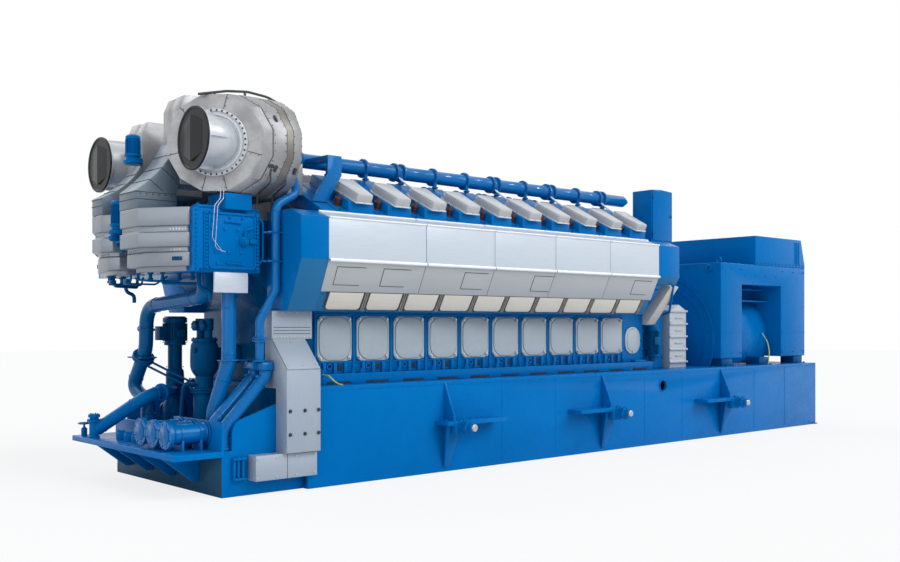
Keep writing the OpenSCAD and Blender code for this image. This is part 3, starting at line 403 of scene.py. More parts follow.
def finished(name, bm, finish, *stands_for, second=None, sharp=32, outwards=True):
    """A mesh made into a piece of the generator set."""
    if outwards:
        bmesh.ops.recalc_face_normals(bm, faces=bm.faces)
    mesh = bpy.data.meshes.new(name)
    bm.to_mesh(mesh)
    bm.free()
    mesh.materials.append(finish)
    if second:
        mesh.materials.append(second)
    mesh.polygons.foreach_set("use_smooth", [True] * len(mesh.polygons))
    mesh.set_sharp_from_angle(angle=math.radians(sharp))
    piece = bpy.data.objects.new(name, mesh)
    bpy.context.scene.collection.objects.link(piece)
    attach(piece, "root")
    if stands_for:
        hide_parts(*stands_for)
    print(f"{name}: {sum(len(p.vertices) - 2 for p in mesh.polygons)} triangles")


def facing(point, out, turn=0.0):
    """The place of a shape whose own Z looks along out."""
    quaternion = Vector(out).normalized().to_track_quat("Z", "Y")
    return Matrix.Translation(point) @ quaternion.to_matrix().to_4x4() @ Matrix.Rotation(turn, 4, "Z")


def join(bm, part, place=Matrix.Identity(4)):
    """Adds a part to a mesh, at its place."""
    bmesh.ops.transform(part, matrix=place, verts=part.verts)
    mesh = bpy.data.meshes.new("part")
    part.to_mesh(mesh)
    part.free()
    bm.from_mesh(mesh)
    bpy.data.meshes.remove(mesh)


def soften(bm, width, angle=30):
    """Rounds the edges of a mesh that are sharper than an angle."""
    limit = math.radians(angle)
    edges = [e for e in bm.edges if e.is_manifold and e.calc_face_angle(0) > limit]
    bmesh.ops.bevel(bm, geom=edges, offset=width, affect="EDGES", segments=2, profile=0.5,
                    clamp_overlap=True, material=-1)


def box(bm, corner, other, round_by=0.0, place=Matrix.Identity(4)):
    """A box between two opposite corners, with rounded edges."""
    low, high = Vector(map(min, corner, other)), Vector(map(max, corner, other))
    part = bmesh.new()
    middle = Matrix.Translation((low + high) / 2)
    bmesh.ops.create_cube(part, size=1, matrix=middle @ Matrix.Diagonal((*(high - low), 1)))
    if round_by:
        soften(part, round_by)
    join(bm, part, place)


def hull(bm, points, round_by=0.0):
    """The tight skin round some points."""
    part = bmesh.new()
    bmesh.ops.convex_hull(part, input=[part.verts.new(p) for p in points])
    if round_by:
        soften(part, round_by)
    join(bm, part)


def raised(corners, rise, round_by=0.0, angle=30):
    """A flat face raised into a plate, as a mesh of its own."""
    part = bmesh.new()
    face = part.faces.new([part.verts.new(corner) for corner in corners])
    top = bmesh.ops.extrude_face_region(part, geom=[face])["geom"]
    bmesh.ops.translate(part, verts=[v for v in top if isinstance(v, bmesh.types.BMVert)], vec=rise)
    bmesh.ops.recalc_face_normals(part, faces=part.faces)
    if round_by:
        soften(part, round_by, angle)
    return part


def outline_plate(bm, outline, thickness, place, round_by=0.0):
    """A flat plate from an outline in X and Y, raised along Z."""
    join(bm, raised([(x, y, 0) for x, y in outline], (0, 0, thickness), round_by), place)


def turned(bm, profile, place, steps=32):
    """A shape turned on a lathe: a profile of radius and height, spun about its own Z."""
    part = bmesh.new()
    points = [part.verts.new((r, 0, h)) for r, h in profile]
    edges = [part.edges.new(pair) for pair in zip(points, points[1:])]
    bmesh.ops.spin(part, geom=points + edges, cent=(0, 0, 0), axis=UP, angle=math.tau, steps=steps,
                   use_merge=True, use_duplicate=False)
    bmesh.ops.remove_doubles(part, verts=part.verts, dist=1e-6)
    bmesh.ops.recalc_face_normals(part, faces=part.faces)
    join(bm, part, place)


def bolt(bm, point, out, size=0.024, turn=0.0):
    """A hexagon head of that width on its washer."""
    place = facing(point, out, turn)
    thick, tall = size * 0.14, size * 0.5
    for sides, wide, narrow, deep, up in ((10, 0.72, 0.70, thick, thick / 2), (6, 0.56, 0.50, tall, thick + tall / 2)):
        bmesh.ops.create_cone(bm, cap_ends=True, segments=sides, radius1=size * wide, radius2=size * narrow,
                              depth=deep, matrix=place @ Matrix.Translation((0, 0, up)))


def bolt_circle(bm, centre, out, radius, count, size=0.024):
    """Bolts evenly round a circle."""
    place = facing(centre, out)
    for i in range(count):
        angle = math.tau * (i + 0.5) / count
        bolt(bm, place @ Vector((radius * math.cos(angle), radius * math.sin(angle), 0)), out, size, angle)


def bolt_row(bm, first, last, count, out, size=0.024):
    """Bolts evenly from one point to another."""
    for i in range(count):
        bolt(bm, Vector(first).lerp(Vector(last), i / (count - 1)), out, size, i * 0.7)


def rivet(bm, point, out, foot=0.007, head=0.005, tall=0.006):
    """A round rivet head."""
    bmesh.ops.create_cone(bm, cap_ends=True, segments=8, radius1=foot, radius2=head, depth=tall,
                          matrix=facing(point, out))


def fins(bm, centre, count, low, high, round_by=0.0):
    """Boxes evenly round an upright axis, all between the same two corners as seen from it."""
    for i in range(count):
        turn = Matrix.Rotation(math.tau * i / count, 4, "Z")
        box(bm, low, high, round_by, Matrix.Translation(centre) @ turn)


def from_cad(node):
    """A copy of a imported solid, with its loose triangles joined to whole faces."""
    part = bmesh.new()
    part.from_mesh(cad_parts[node].data)
    bmesh.ops.remove_doubles(part, verts=part.verts, dist=1e-4)
    bmesh.ops.dissolve_limit(part, angle_limit=math.radians(1), verts=part.verts, edges=part.edges)
    return part


print("mesh helpers ready")

# %% [markdown]
# ### Bent pipes
#
# Pipes on an engine are bent cold, so each corner is an even arc. `tube()` rounds the
# corners of a route first. Then it draws one disc along the route, and turns it by the
# bend at each step, which keeps the pipe round in the bends. Two rings of weld bead where
# a pipe meets its flange are what tells a steel pipe from a plastic one.

# %% Pipes, cables and weld beads


def rounded_route(points, bend):
    """The route with an arc at each corner."""
    points = [Vector(p) for p in points]
    route = [points[0]]
    for before, corner, after in zip(points, points[1:], points[2:]):
        back, on = before - corner, after - corner
        turn = math.pi - back.angle(on)
        reach = min(bend * math.tan(turn / 2), 0.48 * back.length, 0.48 * on.length)
        steps = max(2, round(math.degrees(turn) / 9))
        start, end = corner + back.normalized() * reach, corner + on.normalized() * reach
        for i in range(steps + 1):
            t = i / steps
            route.append(start * (1 - t) ** 2 + corner * 2 * t * (1 - t) + end * t ** 2)
    route.append(points[-1])
    return route


def tube(bm, points, radius, bend=0.15, sides=20):
    """A round pipe along a route."""
    route = rounded_route(points, bend)
    ways = [(b - a).normalized() for a, b in zip(route, route[1:])]
    ways = [ways[0]] + [(a + b).normalized() for a, b in zip(ways, ways[1:])] + [ways[-1]]
    part = bmesh.new()
    bmesh.ops.create_circle(part, cap_ends=True, segments=sides, radius=radius, matrix=facing(route[0], ways[0]))
    part.faces.ensure_lookup_table()
    tip = part.faces[0]
    for (here, way), (there, onward) in zip(zip(route, ways), zip(route[1:], ways[1:])):
        tip = bmesh.ops.extrude_discrete_faces(part, faces=[tip])["faces"][0]
        turn = way.rotation_difference(onward).to_matrix().to_4x4()
        bmesh.ops.transform(part, matrix=Matrix.Translation(there) @ turn @ Matrix.Translation(-here), verts=tip.verts)
    join(bm, part)


def ring(bm, point, way, inner, outer, thick, steps=28):
    """A flat ring round a pipe, such as a flange or a clamp."""
    edge = min(thick * 0.2, (outer - inner) * 0.2)
    turned(bm, [(inner, 0), (outer - edge, 0), (outer, edge), (outer, thick - edge), (outer - edge, thick),
                (inner, thick)], facing(Vector(point) - Vector(way).normalized() * thick / 2, way), steps)


def weld(bm, point, way, radius):
    """A rounded weld bead round a pipe."""
    size = radius * 0.07 + 0.003
    turned(bm, [(radius - size * 0.3, -size), (radius + size * 0.55, -size * 0.5), (radius + size * 0.7, 0),
                (radius + size * 0.55, size * 0.5), (radius - size * 0.3, size)], facing(point, way), 24)


def welds(bm, route, radius, *places):
    """Weld beads on a pipe, each at a share of one leg of its route."""
    for leg, share in places:
        weld(bm, route[leg].lerp(route[leg + 1], share), route[leg + 1] - route[leg], radius)


def seam(bm, start, end, radius=0.003):
    """A thin line where two sheets meet."""
    tube(bm, [start, end], radius, sides=6)


print("pipe helpers ready")

# %% [markdown]
# ## Steelwork and housings
#
# A welded frame or a casting never has knife edges. The grinder or the mould leaves a
# radius of a few millimetres, and that radius is what catches the light along every edge.
# So the flat-sided solids are copied, their edges are rounded, and the copy stands in for
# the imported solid. Solids that are hardly seen only get their finish.

# %% Round the edges of the flat-sided solids
SOFTENED = [
    # piece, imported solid, finish, edge radius in millimetres
    ("side_girders", "base_girders", BLUE, 7),
    ("platform_frame", "front_frame", BLUE, 5),
    ("bracket_plates", "base_brackets", BLUE, 4),
    ("rack_tray", "pipe_rack", BLUE, 4),
    ("block_feet", "engine_feet", CAST_BLUE, 6),
    ("block_casting", "engine_block", CAST_BLUE, 10),
    ("front_casting", "front_housing", DEEP_BLUE, 10),
    ("hot_box_ends", "hot_box_frames", BLUE, 14),
    ("bank_end_castings", "bank_end_covers", CAST_BLUE, 12),
    ("head_castings", "cylinder_heads", CAST_BLUE, 7),
    ("gas_pipe_run", "gas_pipes", PIPE_BLUE, 4),
    ("cooler_casting", "cooler_housing", CAST_BLUE, 10),
    ("turbo_feet", "turbo_brackets", CAST_BLUE, 10),
    ("junction_sheet", "junction_box", GREY, 5),
    ("cable_duct_sheet", "cable_duct", GREY, 4),
    ("foot_duct_sheet", "foot_duct", GREY, 4),
    ("name_panel_plain", "blank_plate", SILVER, 3),
    ("flywheel_casting", "flywheel_housing", CAST_BLUE, 14),
    ("shaft_guards", "flywheel_guards", BLUE, 6),
    ("tray_sheet", "cable_tray", CREAM, 4),
    ("generator_shell", "generator_frame", BLUE, 10),
    ("stator_shell", "generator_stator", BLUE, 8),
    ("end_bell", "generator_bell", BLUE, 6),
    ("generator_pads", "generator_feet", DEEP_BLUE, 5),
    ("exhaust_cassettes", "exhaust_casing", CASSETTE, 8),
]
FRONT_SKIN = at(20, 0, 0).x
SHADE_PAINTED_FACES = {
    # imported solid: its second finish, a darker blue that paints shade, and the faces that get it
    "front_frame": (SHADED_BLUE, lambda f: f.normal.x < -0.9 and f.calc_center_median().x < FRONT_SKIN),
    "hot_box_frames": (UNDER_BLUE, lambda f: f.normal.z < -0.2),
}
for piece, node, finish, radius in SOFTENED:
    copy = from_cad(node)
    soften(copy, radius * MM)
    second = None
    if node in SHADE_PAINTED_FACES:
        second, chosen = SHADE_PAINTED_FACES[node]
        copy.normal_update()
        for face in copy.faces:
            face.material_index = int(chosen(face))
    finished(piece, copy, finish, node, second=second, outwards=False)

# %% Finishes for the solids that stay as they are
for node, finish in (("base_cross_members", DEEP_BLUE), ("base_deck", BLUE), ("base_floor_plate", DEEP_BLUE)):
    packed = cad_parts[node]
    packed.data.materials.clear()
    packed.data.materials.append(finish)
    print(node, "gets", finish.name)

# %% [markdown]
# ## Pipes in front of the engine
#
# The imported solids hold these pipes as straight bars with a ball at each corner, which is
# enough to collide with. Here each one becomes a real bent pipe on the same route, with
# flanges, clamps and weld beads.

# %% The cooling water pipe, which crosses to the far side
PLATFORM_TOP = 480

bm = bmesh.new()
pipe_r = 0.083
route = course(*((100, y, z) for y, z in ((-750, 2352), (-750, 2110), (680, 2010), (700, 1500), (1050, 1050),
                                          (760, 930), (640, 870), (640, PLATFORM_TOP))))
tube(bm, route, pipe_r, bend=0.32, sides=28)
welds(bm, route, pipe_r, (1, 0.16), (1, 0.80), (2, 0.45), (3, 0.16), (3, 0.75), (6, 0.3))
flange, way = route[3].lerp(route[4], 0.20), (route[4] - route[3]).normalized()
for shift in (-0.016, 0.016):
    ring(bm, flange + way * shift, way, pipe_r * 0.9, pipe_r + 0.048, 0.026)
for turn in (1, -1):
    bolt_circle(bm, flange + way * 0.030 * turn, way * turn, pipe_r + 0.030, 8, 0.020)
box(bm, flange + Vector((-0.10, -0.15, -0.012)), flange + Vector((0.10, 0.22, 0.008)), 0.003)
for drop in (0, 70):
    tube(bm, course((130, 790, 1390 - drop), (600, 467, 1093 - drop)), 0.014, 0.1, 10)
gauge = at(100, 690, 1740)
ring(bm, gauge, (0, 0.04, -1), pipe_r * 0.95, pipe_r + 0.016, 0.030)
turned(bm, [(0, 0), (0.016, 0), (0.016, 0.05), (0.034, 0.05), (0.038, 0.06), (0.038, 0.09), (0.030, 0.098),
            (0, 0.098)], facing(gauge + Vector((0, 0.080, 0)), (0, 1, 0.1)), 18)
finished("water_pipe_bent", bm, WATER_BLUE_SHADED, "water_pipe")

# %% The pipe below the cooler
bm = bmesh.new()
drop_r = 0.080
route = course((300, -900, 2352), (300, -900, 1400), (190, -760, 850), (190, -760, PLATFORM_TOP))
tube(bm, route, drop_r, bend=0.35, sides=28)
ring(bm, at(300, -900, 2330), UP, drop_r * 0.9, drop_r + 0.030, 0.024)
box(bm, at(170, -990, 1408), at(560, -880, 1420), 0.002)
tube(bm, course((300, -900, 2090), (420, -840, 2230), (600, -760, 2300)), 0.074, 0.2, 24)
for z in (1980, 1480):
    weld(bm, at(300, -900, z), UP, drop_r)
welds(bm, route, drop_r, (1, 0.35))
finished("drop_pipe_bent", bm, PIPE_BLUE, "cooler_drop_pipe")

# %% The two sloping supply pipes and their header
bm = bmesh.new()
supply_r = 0.066
for y_low, y_high, z_low in ((-1170, -1185, 690), (-975, -960, 750)):
    route = course((70, y_low, PLATFORM_TOP), (70, y_low, z_low), (580, y_high, 1240), (580, y_high, 1300))
    tube(bm, route, supply_r, bend=0.16, sides=24)
    welds(bm, route, supply_r, (1, 0.16), (1, 0.84))
    ring(bm, at(70, y_low, 500), UP, supply_r * 0.9, supply_r + 0.014, 0.030)
    turned(bm, [(0, 0), (0.020, 0), (0.020, 0.020), (0.012, 0.026), (0, 0.028)],
           facing(route[1].lerp(route[2], 0.9) + Vector((-0.044, 0, 0.050)), (-0.7, 0, 0.7)), 12)
box(bm, at(490, -1265, 1300), at(650, -880, 1400), 0.030)
for x in (515, 625):
    for y in (-1235, -1072, -910):
        bolt(bm, at(x, y, 1400), UP, 0.024)
finished("supply_pipes_bent", bm, PIPE_BLUE, "supply_pipes")

# %% The vent pipe beside the hot box
bm = bmesh.new()
vent_r = 0.048
vent = (520, -1170)
route = course((*vent, 1400), (*vent, 1840), (670, -1250, 2170), (670, -1250, 3090), (950, -1235, 3240),
               (910, -1225, 3410))
tube(bm, route, vent_r, bend=0.14, sides=22)
for z, thick in ((1408, 0.018), (1622, 0.020), (1648, 0.020)):
    ring(bm, at(*vent, z), UP, vent_r * 0.9, vent_r + 0.030, thick)
bolt_circle(bm, at(*vent, 1658), UP, vent_r + 0.018, 4, 0.016)
welds(bm, route, vent_r, (0, 0.75), (1, 0.25), (1, 0.8), (2, 0.1), (2, 0.93), (3, 0.55))
for z in (2480, 2790):
    for y in (-1299, -1201):
        box(bm, at(540, y - 5, z - 9), at(724, y + 5, z + 9), 0.002)
    for x in (590, 724):
        box(bm, at(x - 5, -1304, z - 9), at(x + 5, -1196, z + 9), 0.002)
        bolt(bm, at(x, -1304, z), (0, -1, 0), 0.016)
finished("vent_pipe_bent", bm, PIPE_BLUE, "vent_pipe")

# %% [markdown]
# ## The service pipes on the rack
#
# Three short pipes end in flanges where the plant's own water and oil pipes are bolted on.
# The eight holes in each flange stay open. A blank disc closes the bore for transport, and
# saddles hold the pipes on the tray.

# %% Service pipes
RACK_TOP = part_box("service_pipes")[0].z * 1000 - 30
STUB_Z = RACK_TOP + 30 + 142
ALONG = (1, 0, 0)

bm = from_cad("service_pipes")
for y in (-990, -700, -410):
    turned(bm, [(0, 0), (0.096, 0), (0.096, 0.006), (0.090, 0.010), (0.030, 0.010), (0.026, 0.014), (0, 0.014)],
           facing(at(-490, y, STUB_Z), (-1, 0, 0)), 36)
    ring(bm, at(-438, y, STUB_Z), ALONG, 0.100, 0.108, 0.014, 36)
    ring(bm, at(-40, y, STUB_Z), ALONG, 0.100, 0.135, 0.014, 36)
    for x in (-56, -415):
        weld(bm, at(x, y, STUB_Z), ALONG, 0.102)
    for x in (-120, -330):
        box(bm, at(x - 14, y - 95, RACK_TOP), at(x + 14, y + 95, STUB_Z - 60), 0.003)
        ring(bm, at(x, y, STUB_Z), ALONG, 0.101, 0.110, 0.028, 36)
finished("service_pipes_flanged", bm, PIPE_BLUE, "service_pipes")

# %% Valves on the rack and the pipe over it
bm = bmesh.new()
valve = at(-448, 890, RACK_TOP)
turned(bm, [(0, 0), (0.066, 0), (0.066, 0.012), (0.055, 0.020), (0.055, 0.178), (0.080, 0.180), (0.080, 0.204),
            (0.052, 0.208), (0.052, 0.228), (0.067, 0.232), (0.067, 0.262), (0.058, 0.270), (0, 0.270)],
       facing(valve, UP), 32)
bolt_circle(bm, valve + Vector((0, 0, 0.204)), UP, 0.066, 6, 0.016)
bolt_circle(bm, valve + Vector((0, 0, 0.270)), UP, 0.040, 4, 0.014)
small = at(-448, 1180, RACK_TOP)
turned(bm, [(0, 0), (0.035, 0), (0.035, 0.08), (0.024, 0.088), (0.012, 0.100), (0.012, 0.140), (0, 0.140)],
       facing(small, UP), 20)
turned(bm, [(0.056, 0.136), (0.064, 0.130), (0.072, 0.136), (0.072, 0.146), (0.064, 0.150), (0.056, 0.146),
            (0.056, 0.136)], facing(small, UP), 28)
fins(bm, small, 5, (0.0, -0.005, 0.132), (0.060, 0.005, 0.142), 0.001)
for y in (50, 250, 450):
    foot = at(-308, y, RACK_TOP)
    turned(bm, [(0, 0), (0.062, 0), (0.062, 0.070), (0.050, 0.086), (0.056, 0.090), (0.056, 0.106), (0.040, 0.110),
                (0, 0.110)], facing(foot, UP), 24)
    bolt_circle(bm, foot + Vector((0, 0, 0.107)), UP, 0.036, 4, 0.014)
over = course((-408, 890, RACK_TOP + 90), (-50, 325, 986), (250, 466, 1016), (449.6, 710.3, 1016))
tube(bm, over, 0.075, bend=0.20, sides=26)
welds(bm, over, 0.075, (0, 0.10), (0, 0.72), (1, 0.35))
ring(bm, over[1].lerp(over[2], 0.72), over[2] - over[1], 0.073, 0.105, 0.034)
finished("rack_valves_turned", bm, CAST_BLUE, "rack_valves")

# %% [markdown]
# ## Filter and pump
#
# The automatic oil filter is a cast pot with an egg-shaped body on a bolted ring and two
# flanged necks on its lid. The jacket water pump behind it is driven by an upright electric
# motor, whose body carries cooling fins.

# %% The oil filter
bm = bmesh.new()
pot = at(560, 130, PLATFORM_TOP)
turned(bm, [(0, 0), (0.122, 0), (0.130, 0.02), (0.130, 0.500), (0.125, 0.519), (0.165, 0.521), (0.165, 0.546),
            (0.158, 0.550), (0.165, 0.554), (0.165, 0.578), (0.105, 0.581), (0.100, 0.60), (0.105, 0.715),
            (0.128, 0.742), (0.150, 0.780), (0.163, 0.828), (0.165, 0.900), (0.163, 1.020), (0.154, 1.085),
            (0.135, 1.119), (0.150, 1.122), (0.150, 1.156), (0.138, 1.160), (0, 1.160)], facing(pot, UP), 40)
bolt_circle(bm, pot + Vector((0, 0, 0.579)), UP, 0.146, 12, 0.020)
bolt_circle(bm, pot + Vector((0, 0, 1.158)), UP, 0.128, 12, 0.018)
turned(bm, [(0, 0), (0.080, 0), (0.080, 0.40), (0.112, 0.402), (0.112, 0.438), (0, 0.438)],
       facing(pot + Vector((0, 0, 0.97)), ALONG), 28)
for y in (-0.095, 0.095):
    neck = pot + Vector((0, y, 1.156))
    turned(bm, [(0, 0), (0.046, 0), (0.046, 0.09), (0.060, 0.10), (0.060, 0.234), (0, 0.234)], facing(neck, UP), 22)
    turned(bm, [(0, 0), (0.055, 0), (0.060, 0.006), (0.060, 0.028), (0.052, 0.034), (0, 0.034)],
           facing(neck + Vector((-0.060, 0, 0.15)), (-1, 0, 0)), 24)
    bolt_circle(bm, neck + Vector((-0.094, 0, 0.15)), (-1, 0, 0), 0.042, 6, 0.014)
drain = ((-0.10, 0, 0.62), (-0.26, 0.02, 0.62), (-0.26, 0.10, 0.10), (-0.10, 0.12, 0.06))
tube(bm, [pot + Vector(p) for p in drain], 0.022, 0.07, 14)
turned(bm, [(0, 0), (0.022, 0), (0.022, 0.02), (0.030, 0.024), (0.030, 0.034), (0, 0.036)],
       facing(pot + Vector((-0.150, -0.06, 1.02)), (-1, -0.35, 0.1)), 16)
finished("oil_filter_cast", bm, DEEP_BLUE, "oil_filter")

# %% The circulation pump with its upright motor
bm = bmesh.new()
pump = at(520, 795, PLATFORM_TOP)
turned(bm, [(0, 0), (0.150, 0), (0.150, 0.05), (0.120, 0.08), (0.135, 0.16), (0.150, 0.24), (0.144, 0.34),
            (0.120, 0.40), (0.110, 0.43), (0.110, 0.70), (0.104, 0.76), (0.085, 0.79), (0.085, 1.065),
            (0.130, 1.07), (0.130, 1.10), (0.126, 1.104), (0.126, 1.340), (0.146, 1.344), (0.146, 1.395),
            (0.120, 1.420), (0, 1.420)], facing(pump, UP), 36)
fins(bm, pump, 30, (0.118, -0.0028, 1.12), (0.148, 0.0028, 1.335))
bolt_circle(bm, pump + Vector((0, 0, 1.10)), UP, 0.138, 8, 0.016)
bolt_circle(bm, pump + Vector((0, 0, 0.80)), UP, 0.096, 6, 0.016)
box(bm, pump + Vector((-0.23, -0.07, 1.13)), pump + Vector((-0.14, 0.07, 1.30)), 0.008)
box(bm, pump + Vector((-0.05, -0.17, 1.17)), pump + Vector((0.05, -0.145, 1.26)), 0.004)
turned(bm, [(0, 0), (0.060, 0), (0.060, 0.12), (0.086, 0.122), (0.086, 0.148), (0, 0.148)],
       facing(pump + Vector((0, 0.10, 0.28)), (0, 1, 0)), 24)
finished("circulation_pump_turned", bm, DEEP_BLUE, "circulation_pump")

# %% [markdown]
# ## Crankcase doors
#
# A door of cast aluminium closes each crank space, so that a fitter can reach the bearings.
# Its middle is a raised, rounded panel, and clamps at the corners pull it onto its gasket.
# The block around it carries a heavy rib between two doors, and below the door a row of
# pockets and bores that keep the casting light. The doors are made once for each cylinder
# from one outline, which is mirrored to the far side.

# %% Door outlines


def rounded_rectangle(width, height, corner, steps=5):
    """The outline of a rectangle with round corners, about its own middle."""
    outline = []
    for sx, sy, first in ((1, 1, 0), (-1, 1, 90), (-1, -1, 180), (1, -1, 270)):
        for i in range(steps + 1):
            angle = math.radians(first + 90 * i / steps)
            outline.append((sx * (width / 2 - corner) + corner * math.cos(angle),
                            sy * (height / 2 - corner) + corner * math.sin(angle)))
    return outline


def on_side(side, x, z, out=0.0):
    """The place of a shape on the block's side wall, its own Y up and its Z outwards."""
    place = Matrix(((-side, 0, 0, 0), (0, 0, side, 0), (0, 1, 0, 0), (0, 0, 0, 1)))
    return Matrix.Translation(at(x, side * (BLOCK_SIDE + out), z)) @ place


DOOR_Z = BASE_TOP * 1000 + 525
END_DOOR, END_DOOR_Z = BLOCK_X + CYLINDERS * PITCH + 225, DOOR_Z - 75
doors = [(side, station(i)) for side in SIDES for i in range(CYLINDERS)]
print("doors:", len(doors))

# %% Doors
bm = bmesh.new()
for side, x in doors:
    outline_plate(bm, rounded_rectangle(0.486, 0.526, 0.080), 0.020, on_side(side, x, DOOR_Z), 0.003)
    outline_plate(bm, rounded_rectangle(0.436, 0.500, 0.150), 0.008, on_side(side, x, DOOR_Z, 20), 0.003)
    for dx in (-0.205, 0.205):
        for dz in (-0.225, 0.225):
            outline_plate(bm, rounded_rectangle(0.040, 0.052, 0.012, 3), 0.010,
                          on_side(side, x, DOOR_Z, 20) @ Matrix.Translation((dx, dz, 0)), 0.002)
for side in SIDES:
    for width, height, corner, thick, out in ((0.360, 0.410, 0.165, 0.018, 0), (0.280, 0.330, 0.130, 0.008, 18)):
        place = on_side(side, END_DOOR, END_DOOR_Z, out)
        outline_plate(bm, rounded_rectangle(width, height, corner), thick, place, 0.003)
finished("crankcase_doors_cast", bm, DOOR, "crankcase_doors")

# %% Door seams and bolts
bm = bmesh.new()
for side, x in doors:
    gasket_and_gap_shade = bmesh.new()
    loops = []
    for outline in (rounded_rectangle(0.452, 0.512, 0.156), rounded_rectangle(0.440, 0.504, 0.151)):
        points = [gasket_and_gap_shade.verts.new((u, v, 0)) for u, v in outline]
        loops += [gasket_and_gap_shade.edges.new(pair) for pair in zip(points, points[1:] + points[:1])]
    bmesh.ops.bridge_loops(gasket_and_gap_shade, edges=loops)
    join(bm, gasket_and_gap_shade, on_side(side, x, DOOR_Z, 20.8))
finished("door_seams", bm, GASKET_AND_GAP_SHADE, outwards=False)

bm = bmesh.new()
for side, x in doors:
    for dx in (-205, 205):
        for dz in (-225, 225):
            bolt(bm, at(x + dx, side * (BLOCK_SIDE + 30), DOOR_Z + dz), (0, side, 0), 0.026, dx)
for side in SIDES:
    for dz in (-175, 175):
        bolt(bm, at(END_DOOR, side * (BLOCK_SIDE + 18), END_DOOR_Z + dz), (0, side, 0), 0.022)
finished("door_bolts", bm, ZINC)

# %% [markdown]
# ### The ribs of the block
# The ribs between the doors carry the firing load from the heads down to the feet. A band runs above and below each
# door, where its gasket face is machined, and short ribs stiffen the wall down to the foot. Between them lie a bored
# hole and a pocket, whose dark insides are painted shade.

# %% Ribs, bands, pockets and bores
FOOT_TOP = BASE_TOP * 1000 + 120


def wall_box(bm, side, x0, x1, z0, z1, out0, out1, round_by):
    """A box on the block's side wall, from out0 to out1 in front of it."""
    box(bm, *course((x0, BLOCK_SIDE + out0, z0), (x1, BLOCK_SIDE + out1, z1), side=side), round_by)


bm = bmesh.new()
for side in SIDES:
    for i in range(CYLINDERS + 1):
        x = BLOCK_X + i * PITCH
        width = 22 if 0 < i < CYLINDERS else 30
        wall_box(bm, side, x - width if i else x, x + width, FOOT_TOP, 1905, 0, 16, 0.005)
for side, x in doors:
    for dx in (-150, 0, 150):
        wall_box(bm, side, x + dx - 22, x + dx + 22, FOOT_TOP, DOOR_Z - 282, 0, 34, 0.005)
    turned(bm, [(0.024, 0), (0.040, 0), (0.040, 0.016), (0.036, 0.020), (0.024, 0.020), (0.020, 0.004), (0.024, 0)],
           on_side(side, x - 72, FOOT_TOP + 78), 20)
    for z0, z1 in ((-285, -268), (268, 292)):
        wall_box(bm, side, x - 252, x + 252, DOOR_Z + z0, DOOR_Z + z1, 0, 12, 0.003)
finished("block_ribs", bm, CAST_BLUE)

# Painted shade: dark discs in the bores, dark patches in the pockets and dark strips along the foot of the block.
bm = bmesh.new()
for side, x in doors:
    turned(bm, [(0, 0.001), (0.024, 0.001), (0.024, 0.003), (0, 0.003)], on_side(side, x - 72, FOOT_TOP + 78), 20)
    wall_box(bm, side, x + 42, x + 112, FOOT_TOP + 28, DOOR_Z - 300, 0.5, 3, 0.001)
for side in SIDES:
    for i in range(CYLINDERS + 1):
        x = BLOCK_X + (i + 0.2) * PITCH
        wall_box(bm, side, x + 4, x + 0.6 * PITCH - 4, BASE_TOP * 1000 + 2, BASE_TOP * 1000 + 26, 60, 108, 0.001)
finished("block_opening_shade", bm, SHADOW)

# %% Holding down bolts on the feet
bm = bmesh.new()
for side, x in doors:
    for dx in (-220, 220):
        spot = at(x + dx, side * (BLOCK_SIDE + 72), FOOT_TOP)
        turned(bm, [(0, 0), (0.030, 0), (0.030, 0.006), (0.012, 0.007), (0.012, 0.052), (0.008, 0.056), (0, 0.056)],
               facing(spot, UP), 12)
        bmesh.ops.create_cone(bm, cap_ends=True, segments=6, radius1=0.024, radius2=0.024, depth=0.028,
                              matrix=Matrix.Translation(spot + Vector((0, 0, 0.021))))
finished("holding_down_bolts", bm, CAST_BLUE)

# %% [markdown]
# ## Covers over the hot boxes
# Sheet covers hide the fuel pumps and pipes beside each bank. The upper cover is folded once. A rolled edge along its
# bottom, its fold and its top stiffens it and throws off water; its pale colour is a painted highlight. The covers
# below it slant inwards and have small inspection hatches, seen only as a thin dark line of painted shade in the gap
# round each hatch. The lowest row is a line of cream panels with dark posts between them.

# %% Upper and lower covers
for piece, node, finish, radius in (("upper_cover_sheets", "upper_covers", SILVER, 6),
                                    ("lower_cover_sheets", "lower_covers", SILVER_SHADED, 4)):
    copy = from_cad(node)
    soften(copy, radius * MM)
    finished(piece, copy, finish, node, outwards=False)

HOT_FRONT, HOT_END = 1085, 6950
HOT_EDGES = [(1500, 2160), (1655, 2500), (1655, 2960), (1450, 3040)]
SEAMS = [HOT_FRONT, 2470, 3590, 4710, 5830, HOT_END]

# %% Rolled edges along the covers
# The pale colour of these rolled edges is a painted highlight.
bm = bmesh.new()
for side in SIDES:
    for first, last in zip(SEAMS, SEAMS[1:]):
        for (y, z), out, up, radius in zip(HOT_EDGES[1:], (1.0, 0.8, 0.5), (-0.15, 0.6, 0.87), (20, 11, 12)):
            ends = [(x, y + out * radius * 0.25, z + up * radius * 0.25) for x in (first + 4, last - 8)]
            tube(bm, course(*ends, side=side), radius * MM, sides=16)
finished("cover_rolled_edges", bm, TRIM_AND_HIGHLIGHT)

# %% Hatches in the slanted covers


def on_slope(edges, side, x, up, out=0.0):
    """A point on a slanted row of covers, up along its slope from its lower edge."""
    foot, head = [Vector((0, -y, z)) for y, z in edges]
    rise = (head - foot).normalized()
    point = foot + rise * up + Vector((0, -rise.z, rise.y)) * out
    return at(x, -side * point.y, point.z)


def strip(bm, edges, side, x0, x1, up0, up1, out0, out1):
    """A box that lies on a slanted row of covers."""
    hull(bm, [on_slope(edges, side, x, up, out) for x in (x0, x1) for up in (up0, up1) for out in (out0, out1)])


